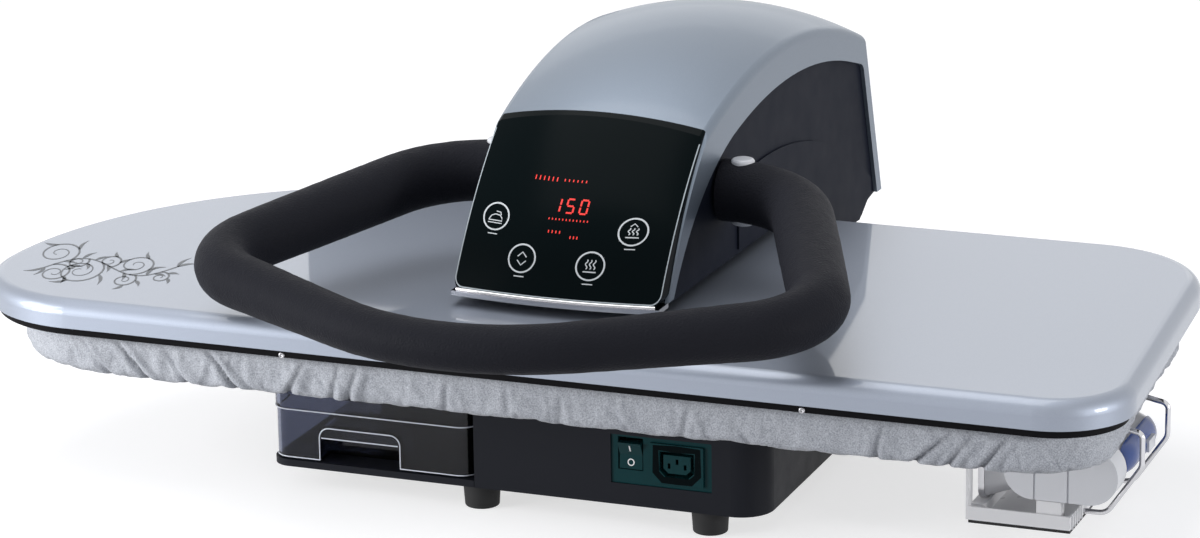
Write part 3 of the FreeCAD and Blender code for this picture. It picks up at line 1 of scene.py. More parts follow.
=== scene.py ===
# %% [markdown]
# # Dressing a steam ironing press
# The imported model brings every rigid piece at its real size. This lesson lights it like a catalogue
# picture, gives each piece a finish built from nodes, and replaces the soft pieces by cloth and foam.

# %% Load the frame
import bpy, bmesh, math
from mathutils import Matrix, Vector, noise


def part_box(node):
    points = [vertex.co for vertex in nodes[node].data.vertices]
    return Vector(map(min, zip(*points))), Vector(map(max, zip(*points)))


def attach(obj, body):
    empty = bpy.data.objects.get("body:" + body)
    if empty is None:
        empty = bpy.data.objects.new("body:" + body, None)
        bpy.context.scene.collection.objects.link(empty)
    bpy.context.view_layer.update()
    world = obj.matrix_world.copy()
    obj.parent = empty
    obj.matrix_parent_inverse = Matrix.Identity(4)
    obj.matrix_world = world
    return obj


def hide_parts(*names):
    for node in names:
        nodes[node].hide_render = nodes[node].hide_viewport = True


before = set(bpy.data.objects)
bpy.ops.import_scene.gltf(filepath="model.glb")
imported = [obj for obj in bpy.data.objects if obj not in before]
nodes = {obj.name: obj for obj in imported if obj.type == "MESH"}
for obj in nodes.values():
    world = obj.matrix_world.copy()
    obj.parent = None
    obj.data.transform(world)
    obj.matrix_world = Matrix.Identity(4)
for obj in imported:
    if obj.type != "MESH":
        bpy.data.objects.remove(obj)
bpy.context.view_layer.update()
scene = bpy.context.scene
platen_low, platen_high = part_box("platen_cover")
PLATEN_LEFT = 0.520
ORIGIN = Vector((platen_low[0] + PLATEN_LEFT, (platen_low[1] + platen_high[1]) / 2, 0.0))


def mm(x, y, z):
    """A place in millimetres from the middle of the pressing head, as a point of the frame in metres."""
    return ORIGIN + Vector((x, y, z)) / 1000


def new_piece(name, points, faces, made, smooth=True):
    """A mesh object of the scene from points in metres, wearing one finish."""
    mesh = bpy.data.meshes.new(name)
    mesh.from_pydata([tuple(p) for p in points], [], faces)
    mesh.materials.append(made)
    mesh.polygons.foreach_set("use_smooth", [smooth] * len(mesh.polygons))
    mesh.update()
    piece = bpy.data.objects.new(name, mesh)
    scene.collection.objects.link(piece)
    return piece


def reworked(piece, change):
    """Change an object's mesh by a function of its bmesh, and turn every face outward."""
    mesh = bmesh.new()
    mesh.from_mesh(piece.data)
    change(mesh)
    bmesh.ops.recalc_face_normals(mesh, faces=mesh.faces)
    mesh.to_mesh(piece.data)
    mesh.free()
    return piece


def feed(tree, socket, given):
    """Give an input a value, or link it to the output that makes one."""
    if isinstance(given, bpy.types.NodeSocket):
        tree.links.new(given, socket)
    else:
        socket.default_value = given


def put(tree, kind, *inputs, **settings):
    """A node of any tree with its settings and with what its inputs are fed."""
    made = tree.nodes.new(kind)
    for key, value in settings.items():
        setattr(made, key, value)
    for given in inputs:
        for key, value in given.items():
            feed(tree, made.inputs[key], value)
    return made


def finish(name, colour, roughness, metal=0.0, **more):
    """A new material with one Principled shader; more sets further sockets by name."""
    made = bpy.data.materials.new(name)
    made.use_nodes = True
    shader = made.node_tree.nodes["Principled BSDF"]
    shader.inputs["Base Color"].default_value = (*colour, 1.0)
    shader.inputs["Roughness"].default_value = roughness
    shader.inputs["Metallic"].default_value = metal
    for socket, value in more.items():
        shader.inputs[socket.replace("_", " ")].default_value = value
    return made


print("nodes", len(nodes), "head middle at", [round(c, 4) for c in ORIGIN])

# %% [markdown]
# ## Camera
# The picture was taken from the right, a little above, with a long lens, and the camera leaned by less
# than a degree. The viewing angles and the lens were chosen by trial. The lean, the distance and the aim
# were then fitted to the long edges of the platen and the base.

# %% Camera
YAW, LIFT, LEAN = math.radians(21.5), math.radians(16.3), math.radians(-0.84)
DISTANCE, SENSOR, FOCAL = 3.7419, 36.0, 132.0
aim = mm(-9.58, 0.0, 171.66)
back = Vector((math.sin(YAW) * math.cos(LIFT), -math.cos(YAW) * math.cos(LIFT), math.sin(LIFT)))
right = Vector((math.cos(YAW), math.sin(YAW), 0.0))
up = back.cross(right)
right, up = (right * math.cos(LEAN) + up * math.sin(LEAN), up * math.cos(LEAN) - right * math.sin(LEAN))
lens = bpy.data.cameras.new("catalogue_lens")
lens.sensor_fit, lens.sensor_width, lens.lens = "HORIZONTAL", SENSOR, FOCAL
lens.clip_start, lens.clip_end = 0.1, 50.0
camera = bpy.data.objects.new("catalogue_camera", lens)
scene.collection.objects.link(camera)
place = Matrix((right, up, back)).transposed().to_4x4()
place.translation = aim + back * DISTANCE
camera.matrix_world = place
scene.camera = camera
print("camera at", [round(c, 3) for c in camera.location], "lens", lens.lens)

# %% [markdown]
# ## Studio
# A white sweep and large soft boxes give the long soft highlights of a product picture. The low box at the
# left lights the platen's front edge. The room and the sweep look white to the camera, to reflections and
# through clear plastic, but as light on the object they stay at a plain level. The sweep keeps the shadow
# and fades to white further out. A dark card behind the press, seen by reflections only, gives the platen
# the darker field inside the handle, as photographers do with a black flag.

# %% Studio lamps
scene.view_settings.view_transform = "Standard"


def soft_box(name, spot, aim, size, power):
    """A rectangular lamp that faces a point of the object."""
    lamp = bpy.data.lights.new(name, "AREA")
    lamp.shape, lamp.size, lamp.size_y, lamp.energy = "RECTANGLE", size[0], size[1], power
    holder = bpy.data.objects.new(name, lamp)
    scene.collection.objects.link(holder)
    holder.location = spot
    holder.rotation_mode = "QUATERNION"
    holder.rotation_quaternion = (Vector(aim) - Vector(spot)).to_track_quat("-Z", "Y")


soft_box("top_box", (-0.5, 0.0, 2.4), (0.0, 0.0, 0.15), (2.6, 1.6), 30)
soft_box("left_box", (-2.3, -1.6, 1.1), (-0.2, 0.0, 0.15), (1.3, 1.3), 34)
soft_box("low_box", (-1.8, -1.7, 0.28), (-0.4, -0.2, 0.14), (0.9, 0.5), 30)
soft_box("rear_box", (-0.95, 2.4, 0.95), (0.0, 0.0, 0.17), (3.0, 0.9), 4.5)
soft_box("right_box", (2.4, -0.5, 0.45), (0.45, 0.0, 0.08), (0.7, 0.6), 22)


# %% White room and floor
def picture_rays(tree):
    """A socket that is 1 for rays of the camera, of mirrors and of clear pieces, and 0 for plain light."""
    path = put(tree, "ShaderNodeLightPath")
    last = path.outputs["Is Camera Ray"]
    for kind in ("Is Glossy Ray", "Is Transmission Ray"):
        both = {0: last, 1: path.outputs[kind]}
        last = put(tree, "ShaderNodeMath", both, operation="MAXIMUM").outputs[0]
    return last


WHITE = (1.0, 1.0, 1.0, 1.0)
world = bpy.data.worlds.new("white_room")
scene.world = world
world.use_nodes = True
tree = world.node_tree
tree.nodes.clear()
room = put(tree, "ShaderNodeBackground", {"Color": (0.90, 0.93, 1.0, 1.0), "Strength": 0.40})
white = put(tree, "ShaderNodeBackground", {"Color": WHITE, "Strength": 1.0})
mix = put(tree, "ShaderNodeMixShader",
          {"Fac": picture_rays(tree), 1: room.outputs[0], 2: white.outputs[0]})
put(tree, "ShaderNodeOutputWorld", {"Surface": mix.outputs[0]})

FLOOR_GLOW, FADE_FROM, FADE_TO, FLOOR_HALF = 0.66, 0.9, 2.4, 6.0
floor_paint = finish("floor_paint", (0.50, 0.50, 0.51), 0.9, Specular_IOR_Level=0.1)
tree = floor_paint.node_tree
paper = tree.nodes["Principled BSDF"]
rays = picture_rays(tree)


def ray_glow(strength):
    """White light of a strength that only picture rays see."""
    glow = put(tree, "ShaderNodeEmission", {"Color": WHITE, "Strength": strength})
    dark = put(tree, "ShaderNodeEmission", {"Strength": 0.0})
    links = {"Fac": rays, 1: dark.outputs[0], 2: glow.outputs[0]}
    return put(tree, "ShaderNodeMixShader", links).outputs[0]


near = put(tree, "ShaderNodeAddShader", {0: paper.outputs[0], 1: ray_glow(FLOOR_GLOW)})
where = put(tree, "ShaderNodeTexCoord")
reach = put(tree, "ShaderNodeVectorMath", {0: where.outputs["Object"]}, operation="LENGTH")
fade = put(tree, "ShaderNodeMapRange", {"From Min": FADE_FROM, "From Max": FADE_TO},
           {"Value": reach.outputs["Value"]})
both = put(tree, "ShaderNodeMixShader",
           {"Fac": fade.outputs["Result"], 1: near.outputs[0], 2: ray_glow(1.0)})
tree.links.new(both.outputs[0], tree.nodes["Material Output"].inputs["Surface"])
corners = [(x * FLOOR_HALF, y * FLOOR_HALF, 0.0) for x, y in ((-1, -1), (1, -1), (1, 1), (-1, 1))]
floor = new_piece("floor_sheet", corners, [(0, 1, 2, 3)], floor_paint)

flag_cloth = finish("flag_cloth", (0.03, 0.03, 0.035), 0.9)
FLAG_LEFT, FLAG_RIGHT, FLAG_Y, FLAG_LOW, FLAG_HIGH = -440.0, -120.0, 330.0, 185.0, 330.0
corners = [mm(x, FLAG_Y, z) for x, z in ((FLAG_LEFT, FLAG_LOW), (FLAG_RIGHT, FLAG_LOW),
                                         (FLAG_RIGHT, FLAG_HIGH), (FLAG_LEFT, FLAG_HIGH))]
flag = new_piece("dark_flag", corners, [(0, 1, 2, 3)], flag_cloth)
flag.visible_camera = flag.visible_diffuse = flag.visible_transmission = flag.visible_shadow = False
print("floor, room and flag ready")

# %% [markdown]
# ## Finishes
# Each finish is one Principled shader with noise in Object coordinates for its grain, so that a finish
# keeps its scale on every piece. Numbers that are the same all over sit on the shader's own sockets.


# %% Finish helpers
def blended(tree, share, first, second):
    """A colour socket that goes from a colour or a colour socket to a second colour by a share."""
    blend = put(tree, "ShaderNodeMix", data_type="RGBA")
    low, high = [s for s in blend.inputs if s.type == "RGBA"]
    feed(tree, low, first)
    feed(tree, high, second)
    feed(tree, [s for s in blend.inputs if s.type == "VALUE"][0], share)
    return [s for s in blend.outputs if s.type == "RGBA"][0]


def grain(made, scale, depth, kind="NOISE", detail=3.0, mix=0.0, tint=(0.0, 0.0, 0.0), rough=None):
    """Give a finish its grain: a bump, and if asked a mottled colour and a varying roughness."""
    tree = made.node_tree
    shader = tree.nodes["Principled BSDF"]
    spot = {"Vector": put(tree, "ShaderNodeTexCoord").outputs["Object"]}
    if kind == "NOISE":
        height = put(tree, "ShaderNodeTexNoise", {"Scale": scale, "Detail": detail}, spot).outputs["Fac"]
    else:
        cells = put(tree, "ShaderNodeTexVoronoi", {"Scale": scale}, spot, feature="SMOOTH_F1")
        height = cells.outputs["Distance"]
    bump = put(tree, "ShaderNodeBump", {"Strength": 1.0, "Distance": depth}, {"Height": height})
    tree.links.new(bump.outputs["Normal"], shader.inputs["Normal"])
    if mix:
        span = put(tree, "ShaderNodeMapRange", {"From Min": 0.35, "From Max": 0.65, "To Max": mix},
                   {"Value": height})
        mottled = blended(tree, span.outputs["Result"], shader.inputs["Base Color"].default_value, (*tint, 1.0))
        tree.links.new(mottled, shader.inputs["Base Color"])
    if rough:
        cloud_scale, low, high = rough
        cloud = put(tree, "ShaderNodeTexNoise", {"Scale": cloud_scale}, spot)
        span = put(tree, "ShaderNodeMapRange", {"To Min": low, "To Max": high}, {"Value": cloud.outputs["Fac"]})
        tree.links.new(span.outputs["Result"], shader.inputs["Roughness"])
    return made


# %% The finishes of this press
silver = grain(finish("silver_paint", (0.255, 0.285, 0.345), 0.54, 0.85, Coat_Weight=0.7, Coat_Roughness=0.05),
               2600, 0.00001, detail=1.0, mix=0.4, tint=(0.325, 0.358, 0.42))
hood_silver = grain(finish("hood_silver", (0.165, 0.20, 0.25), 0.46, 0.75, Coat_Weight=0.25, Coat_Roughness=0.10),
                    2600, 0.00001, detail=1.0, mix=0.4, tint=(0.24, 0.28, 0.335))
housing_black = grain(finish("grained_black", (0.0075, 0.0085, 0.0125), 0.48, Specular_IOR_Level=0.12),
                      1400, 0.00006, rough=(60, 0.42, 0.56))
panel_black = grain(finish("charcoal_panel", (0.008, 0.010, 0.018), 0.56, Specular_IOR_Level=0.06),
                    1800, 0.00005, rough=(40, 0.50, 0.64))
glass_black = grain(finish("gloss_fascia", (0.0010, 0.0034, 0.0042), 0.20, Specular_IOR_Level=0.03),
                    30, 0.00001, rough=(20, 0.18, 0.24))
foam_black = grain(finish("pebbled_foam", (0.0165, 0.017, 0.0215), 0.50, Specular_IOR_Level=0.03), 700, 0.0005,
                   kind="VORONOI", rough=(120, 0.44, 0.62))
band_black = grain(finish("band_black", (0.004, 0.004, 0.005), 0.55, Specular_IOR_Level=0.06), 900, 0.00004,
                   rough=(60, 0.50, 0.62))
bright = grain(finish("bright_wire", (0.62, 0.62, 0.64), 0.10, 1.0), 500, 0.00001, rough=(200, 0.06, 0.16))
steel = grain(finish("plain_steel", (0.42, 0.42, 0.44), 0.34, 1.0), 900, 0.00002, rough=(150, 0.26, 0.42))
alloy = grain(finish("machined_alloy", (0.60, 0.60, 0.62), 0.30, 1.0), 700, 0.00003, rough=(90, 0.24, 0.40))
brass = grain(finish("bush_brass", (0.72, 0.52, 0.22), 0.30, 1.0), 800, 0.00002, rough=(90, 0.24, 0.36))
rubber = grain(finish("foot_rubber", (0.010, 0.010, 0.011), 0.62, Specular_IOR_Level=0.3), 700, 0.00008,
               rough=(80, 0.55, 0.70))
white_plastic = grain(finish("white_plastic", (0.75, 0.75, 0.765), 0.30), 900, 0.00002, rough=(50, 0.24, 0.36))
grey_plastic = grain(finish("grey_plastic", (0.64, 0.65, 0.68), 0.34), 1100, 0.00003, rough=(60, 0.28, 0.42))
blue_plastic = grain(finish("blue_plastic", (0.020, 0.055, 0.22), 0.22), 900, 0.00002, rough=(60, 0.18, 0.30))
green_board = grain(finish("circuit_green", (0.02, 0.13, 0.06), 0.40), 300, 0.00004, rough=(80, 0.32, 0.5))
smoked = grain(finish("smoked_clear", (0.22, 0.24, 0.32), 0.02, Transmission_Weight=1.0, IOR=1.33),
               12, 0.00001, rough=(30, 0.02, 0.05))
teal_plate = grain(finish("teal_plate", (0.003, 0.032, 0.036), 0.24, Specular_IOR_Level=0.10), 900, 0.00001,
                   rough=(60, 0.18, 0.32))

wear = {
    silver: ("platen_cover",),
    hood_silver: ("hood",),
    housing_black: ("base_housing", "base_plate", "bay_tray", "water_dock", "water_pump", "mains_gland",
                    "head_pan"),
    band_black: ("insulating_band",),
    panel_black: ("side_panel_left", "side_panel_right"),
    glass_black: ("fascia",),
    teal_plate: ("switch_plate", "rocker", "iron_socket"),
    bright: ("fascia_strip", "cradle_wires"),
    steel: ("boiler", "bed_board", "hinge_towers", "hinge_shaft", "counterbalance_springs", "swing_arm",
            "handle_shaft", "handle_crank", "handle_tube", "heating_element", "platen_yoke", "guide_posts"),
    alloy: ("sole_plate", "iron_sole"),
    brass: ("guide_bushes", "hinge_bushes"),
    rubber: ("feet", "cradle_strip"),
    white_plastic: ("iron_body", "iron_handle", "cradle_tray"),
    grey_plastic: ("iron_heel", "iron_dial", "iron_button", "handle_bolts", "tank_valve"),
    blue_plastic: ("iron_tank", "iron_grip"),
    green_board: ("control_board", "display_board"),
    smoked: ("water_tank", "tank_lid"),
}
for made, names in wear.items():
    for name in names:
        mesh = nodes[name].data
        mesh.materials.clear()
        mesh.materials.append(made)
print("finished nodes", sum(len(names) for names in wear.values()), "of", len(nodes))

# %% [markdown]
# ## Padded bed
# The bed is foam under a silver-grey cotton cover that an elastic pulls tight below. Its edge shows a few
# sharp pleats and many soft puckers. The outline is walked once; every ring of the cover is that walk drawn
# in by some millimetres. The pleats seen in the picture are pressed in first, and a short cloth simulation
# with a little spare cloth between the pinned rings makes the puckers between them.
# The creases of the pleats also get painted shade: their cloth colour darkens towards their bottom.


# %% Walk round the bed's outline
def outline_walk(x0, x1, y0, y1, radii, slope, step):
    """Points and outward directions round a rectangle with four corner radii and a slanted right side."""
    fl, fr, rr, rl = radii
    lean = math.atan(slope)
    reach = (x1 - fr) * math.cos(lean) + (y0 + fr) * math.sin(lean) + fr
    rear_x = (reach - rr - (y1 - rr) * math.sin(lean)) / math.cos(lean)
    corners = [(x1 - fr, y0 + fr, fr, -math.pi / 2, lean), (rear_x, y1 - rr, rr, lean, math.pi / 2),
               (x0 + rl, y1 - rl, rl, math.pi / 2, math.pi), (x0 + fl, y0 + fl, fl, math.pi, math.pi * 1.5)]
    walk = []
    for i, (x, y, r, a0, a1) in enumerate(corners):
        count = max(2, round(r * (a1 - a0) / step))
        for k in range(count):
            a = a0 + (a1 - a0) * k / count
            outward = Vector((math.cos(a), math.sin(a)))
            walk.append((Vector((x + r * math.cos(a), y + r * math.sin(a))), outward))
        nx, ny, nr, na0, _ = corners[(i + 1) % 4]
        start = Vector((x + r * math.cos(a1), y + r * math.sin(a1)))
        end = Vector((nx + nr * math.cos(na0), ny + nr * math.sin(na0)))
        count = int((end - start).length / step)
        for k in range(count):
            walk.append((start.lerp(end, k / count), Vector((math.cos(a1), math.sin(a1)))))
    return walk


BED, BED_RADII = (-491.0, 482.0, -214.0, 212.0), (115.0, 65.0, 108.0, 311.0)
BED_SLOPE, WALK_STEP = 32.0 / 452.0, 2.2
walk = outline_walk(*BED, BED_RADII, BED_SLOPE, WALK_STEP)
print("points round the bed", len(walk))

# %% Rings of the cover, with the pleats pressed in
CLOTH_TOP, SIDE_TOP, WAIST, HEM, TUCK, EDGE = 137.8, 128.8, 116.0, 103.6, 9.0, 9.0
PLEAT_TOP = CLOTH_TOP - 4
HOUSING_LEFT, HOUSING_RIGHT, HOUSING_Y, HEM_LIFT = -250.0, 192.0, 100.0, 8.0
PLEATS = ((-361, -334, 8.0, 7), (-277, -251, 8.0, 7), (-396, -370, 3.0, 10), (-318, -298, 3.4, 9),
          (-189, -207, 5.0, 8), (-141, -153, 5.0, 7), (-157, -167, 4.0, 6), (-60, -66, 1.6, 12),
          (40, 36, 1.4, 14), (150, 140, 1.8, 12), (311, 303, 4.0, 8), (368, 334, 6.0, 8),
          (385, 362, 5.0, 6), (413, 389, 6.5, 6))


def ring_profile():
    """Inset and height of each ring from the flat top, round the edge, down the side, to the hem."""
    quarter = math.pi / 2
    bends = [quarter * k / 5 for k in range(6)]
    rows = [(EDGE * (1 - math.sin(a)), SIDE_TOP + EDGE * math.cos(a)) for a in bends]
    rows += [(k / 5, SIDE_TOP + (WAIST - SIDE_TOP) * k / 5) for k in range(1, 6)]
    bends = [quarter * k / 6 for k in range(1, 7)]
    rows += [(1 + (TUCK - 1) * (1 - math.cos(a)), WAIST + (HEM - WAIST) * math.sin(a)) for a in bends]
    return rows


def pleat_depth(x, down):
    """Outward move of the cloth at a place of the front side: grooves with a soft roll each side."""
    total = 0.0
    for high, low, depth, width in PLEATS:
        s = (x - high - (low - high) * down) / width
        if abs(s) < 3:
            total += depth * (0.38 * math.exp(-(s - 1.0) ** 2 / 0.5) - math.exp(-(s / 0.34) ** 2) * 0.95
                              + 0.22 * math.exp(-(s + 1.0) ** 2 / 0.5))
    return total


def pleat_shade(x, down):
    """How much light a pleat's crease loses: 1 at the bottom of a deep one, 0 beside it."""
    most = 0.0
    for high, low, depth, width in PLEATS:
        s = (x - high - (low - high) * down) / width
        most = max(most, math.exp(-(s / 0.30) ** 2) * min(1.0, depth / 8) ** 1.5)
    return most


def hem_lift(point):
    """The cloth is pushed up where it lies on the base housing behind."""
    if point.y < HOUSING_Y:
        return 0.0
    beyond = max(HOUSING_LEFT - point.x, point.x - HOUSING_RIGHT, 0.0)
    return HEM_LIFT * (1 - min(1.0, max(0.0, (beyond - 6) / 30.0)))


def cover_point(spot, outward, inset, z):
    """A place of the walk drawn in by an inset, with its pleats, its ripples and the lifted hem."""
    down = max(0.0, min(1.0, (PLEAT_TOP - z) / (PLEAT_TOP - HEM)))
    low = max(0.0, min(1.0, (SIDE_TOP - z) / (SIDE_TOP - HEM)))
    move = 0.0
    if outward.y < -0.6:
        move += pleat_depth(spot.x, down) * (0.25 + 0.75 * low) * min(1.0, (CLOTH_TOP - z) / 8)
    ripple = noise.noise(Vector((spot.x * 0.016 + low * 0.7, spot.y * 0.016, low * 0.6)))
    fine = noise.noise(Vector((spot.x * 0.05 - low * 0.9, spot.y * 0.05, 7.0)))
    move += (2.4 * ripple + 1.0 * fine) * low
    z += low * (1.3 * fine + hem_lift(spot) * low - 0.25 * min(0.0, move))
    place = spot - outward * inset + outward * max(-3.2, move)
    return mm(place.x, place.y, z)


rows = ring_profile()
count = len(walk)
rest = [cover_point(spot, outward, inset, z) for inset, z in rows for spot, outward in walk]
print("rings", len(rows), "points", len(rest))


# %% Let spare cloth pucker between the pinned rings
def ring_faces(rings):
    """Faces between neighbouring rings of the cover."""
    faces = []
    for r in range(rings - 1):
        here, below = r * count, (r + 1) * count
        faces += [(here + k, below + k, below + (k + 1) % count, here + (k + 1) % count) for k in range(count)]
    return faces


def puckered(points, spare, frames):
    """Simulate the skirt with a share of spare cloth, pinned at its top and at the hem."""
    skirt = new_piece("skirt_trial", points, ring_faces(len(rows)), silver)
    pins = skirt.vertex_groups.new(name="pins")
    pins.add(list(range(4 * count)), 1.0, "REPLACE")
    pins.add(list(range((len(rows) - 1) * count, len(rows) * count)), 1.0, "REPLACE")
    cloth = skirt.modifiers.new("cotton", "CLOTH")
    rule = cloth.settings
    rule.quality = 6
    rule.mass = 0.12
    rule.tension_stiffness = 12
    rule.compression_stiffness = 12
    rule.shear_stiffness = 6
    rule.bending_stiffness = 0.25
    rule.vertex_group_mass = "pins"
    rule.shrink_min = -spare
    rule.effector_weights.gravity = 0.2
    cloth.collision_settings.use_collision = False
    cloth.point_cache.frame_start, cloth.point_cache.frame_end = 1, frames
    for number in range(1, frames + 1):
        scene.frame_set(number)
    solved = skirt.evaluated_get(bpy.context.evaluated_depsgraph_get())
    moved = [v.co.copy() for v in solved.data.vertices]
    scene.frame_set(1)
    bpy.data.objects.remove(skirt)
    return moved


SPARE, FRAMES, OUT_MOST, IN_MOST, SLIP_MOST = 0.05, 18, 0.005, 0.0015, 0.003


def capped(start, end, outward):
    """Keep a simulated move within what the cloth can do there."""
    move = end - start
    along = max(-IN_MOST, min(OUT_MOST, move.dot(outward)))
    rest_of = move - outward * move.dot(outward)
    if rest_of.length > SLIP_MOST:
        rest_of = rest_of.normalized() * SLIP_MOST
    return start + outward * along + rest_of


shape = rest
solved = puckered(rest, SPARE, FRAMES)
shape = []
for i, (a, b) in enumerate(zip(rest, solved)):
    outward = Vector((*walk[i % count][1], 0.0))
    shape.append(capped(a, b, outward))
moves = [(a - b).length * 1000 for a, b in zip(rest, shape)]
print("cloth moved up to", round(max(moves), 2), "mm, mean", round(sum(moves) / len(moves), 2))

# %% Cloth finish
CLOUD_SHARE = 0.10
FLECK_STOPS = ((0.34, (0.295, 0.31, 0.347)), (0.66, (0.515, 0.535, 0.575)))
cotton = finish("silver_cotton", (0.36, 0.37, 0.40), 0.72, 0.0, Sheen_Weight=0.25, Sheen_Roughness=0.4,
                Specular_IOR_Level=0.3)
tree = cotton.node_tree
shader = tree.nodes["Principled BSDF"]
spot = {"Vector": put(tree, "ShaderNodeTexCoord").outputs["Object"]}
fleck = put(tree, "ShaderNodeTexNoise", {"Scale": 900, "Detail": 1.0}, spot)
cloudy = put(tree, "ShaderNodeTexNoise", {"Scale": 45, "Detail": 3.0}, spot)
weave = put(tree, "ShaderNodeTexVoronoi", {"Scale": 1400}, spot)
weaker = put(tree, "ShaderNodeMath", {1: 1 - CLOUD_SHARE}, {0: fleck.outputs["Fac"]}, operation="MULTIPLY")
blend = put(tree, "ShaderNodeMath", {1: CLOUD_SHARE}, {0: cloudy.outputs["Fac"], 2: weaker.outputs[0]},
            operation="MULTIPLY_ADD")
shades = put(tree, "ShaderNodeValToRGB", {"Fac": blend.outputs[0]})
for stop, (at, colour) in zip(shades.color_ramp.elements, FLECK_STOPS):
    stop.position, stop.color = at, (*colour, 1.0)
# Painted shade: the crease attribute darkens the cloth colour towards a dark grey in the bottoms of the pleats,
# where shade falls.
crease = put(tree, "ShaderNodeAttribute", attribute_name="crease")
shaded = blended(tree, crease.outputs["Fac"], shades.outputs["Color"], (0.09, 0.095, 0.11, 1.0))
tree.links.new(shaded, shader.inputs["Base Color"])
bump = put(tree, "ShaderNodeBump", {"Distance": 0.0001}, {"Height": weave.outputs["Distance"]})
tree.links.new(bump.outputs["Normal"], shader.inputs["Normal"])
print("finish", cotton.name)


# %% Close the cover into one mesh
def padded_bed(points):
    """Flat top, simulated skirt, rolled hem and a floor on the board, as one closed mesh."""
    points = list(points)
    last = (len(rows) - 1) * count
    for inset, rise in ((TUCK + 1.6, -1.2), (TUCK + 3.0, 0.4), (TUCK + 3.2, 3.0)):
        for k, (spot, outward) in enumerate(walk):
            flat = spot - outward * inset
            hem = points[last + k]
            points.append(Vector((*mm(flat.x, flat.y, 0).xy, hem.z + rise / 1000)))
    for k, (spot, outward) in enumerate(walk):
        flat = spot - outward * 10.6
        points.append(mm(flat.x, flat.y, 118.2))
    rings = len(points) // count
    faces = ring_faces(rings)
    faces.append(tuple(range(count)))
    faces.append(tuple(reversed(range((rings - 1) * count, rings * count))))
    bed = new_piece("padded_bed", points, faces, cotton)
    # Painted shade for the cloth finish: how dark each pleat's crease is painted.
    crease = bed.data.attributes.new("crease", "FLOAT", "POINT")
    for i in range(len(rows) * count):
        spot, outward = walk[i % count]
        down = max(0.0, min(1.0, (PLEAT_TOP - rows[i // count][1]) / (PLEAT_TOP - HEM)))
        if outward.y < -0.6:
            crease.data[i].value = 0.75 * pleat_shade(spot.x, down) * min(1.0, down / 0.15)
    return reworked(bed, lambda mesh: bmesh.ops.triangulate(
        mesh, faces=[f for f in mesh.faces if len(f.verts) > 4]))


bed = padded_bed(shape)
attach(bed, "base")
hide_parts("pad_cover", "pad_foam")
print("bed faces", len(bed.data.polygons))

# %% [markdown]
# ## Foam handle
# The handle is one steel tube bent into a loop and pushed into a thick foam sleeve, fat at the roots and
# slimmer along the front bar. A sleeve on a bent tube follows a rule, so Geometry Nodes build it: corner
# points with their bend radii become a filleted curve, the thickness follows the place along the curve, and
# a circle is swept along it. Fine noise makes the skin a little uneven, as moulded foam is.


# %% The loop's corner points
ROOT_X, BAR_DROP, PIVOT_Y, PIVOT_Z = 94.0, math.radians(5.4), 25.0, 244.0
LOOP = ((ROOT_X, 0, 0), (160, 0, 90), (272, 266, 67), (0, 409, 221),
        (-272, 266, 67), (-160, 0, 90), (-ROOT_X, 0, 0))


def loop_point(x, out):
    """A place of the handle's plane, which drops to the front."""
    return mm(x, PIVOT_Y - out * math.cos(BAR_DROP), PIVOT_Z - out * math.sin(BAR_DROP))


path_mesh = bpy.data.meshes.new("handle_path")
runs = [(i, i + 1) for i in range(len(LOOP) - 1)]
path_mesh.from_pydata([tuple(loop_point(x, out)) for x, out, _ in LOOP], runs, [])
bends = path_mesh.attributes.new("bend", "FLOAT", "POINT")
for i, (_, _, radius) in enumerate(LOOP):
    bends.data[i].value = radius / 1000
sleeve = bpy.data.objects.new("foam_sleeve", path_mesh)
scene.collection.objects.link(sleeve)
print("corner points", len(path_mesh.vertices))


# %% Node tree helpers
def node_group(name, inputs):
    """A Geometry Nodes tree with a geometry socket in and out and named inputs: (name, kind, value)."""
    tree = bpy.data.node_groups.new(name, "GeometryNodeTree")
    tree.is_modifier = True
    tree.interface.new_socket("Geometry", in_out="INPUT", socket_type="NodeSocketGeometry")
    tree.interface.new_socket("Geometry", in_out="OUTPUT", socket_type="NodeSocketGeometry")
    for title, kind, _ in inputs:
        tree.interface.new_socket(title, in_out="INPUT", socket_type=kind)
    return tree


def deliver(tree, geometry, made):
    """End a tree: its geometry made real and wearing a material."""
    real = put(tree, "GeometryNodeRealizeInstances", {"Geometry": geometry})
    dressed = put(tree, "GeometryNodeSetMaterial", {"Geometry": real.outputs["Geometry"], "Material": made})
    put(tree, "NodeGroupOutput", {"Geometry": dressed.outputs["Geometry"]})


def run_group(piece, tree, inputs):
    """Run a node tree on an object and keep the result as the object's own mesh."""
    modifier = piece.modifiers.new(tree.name, "NODES")
    modifier.node_group = tree
    idents = {s.name: s.identifier for s in tree.interface.items_tree if s.in_out == "INPUT"}
    for title, _, value in inputs:
        modifier[idents[title]] = value
    solved = piece.evaluated_get(bpy.context.evaluated_depsgraph_get())
    mesh = bpy.data.meshes.new_from_object(solved)
    mesh.name = piece.name
    piece.modifiers.clear()
    piece.data = mesh


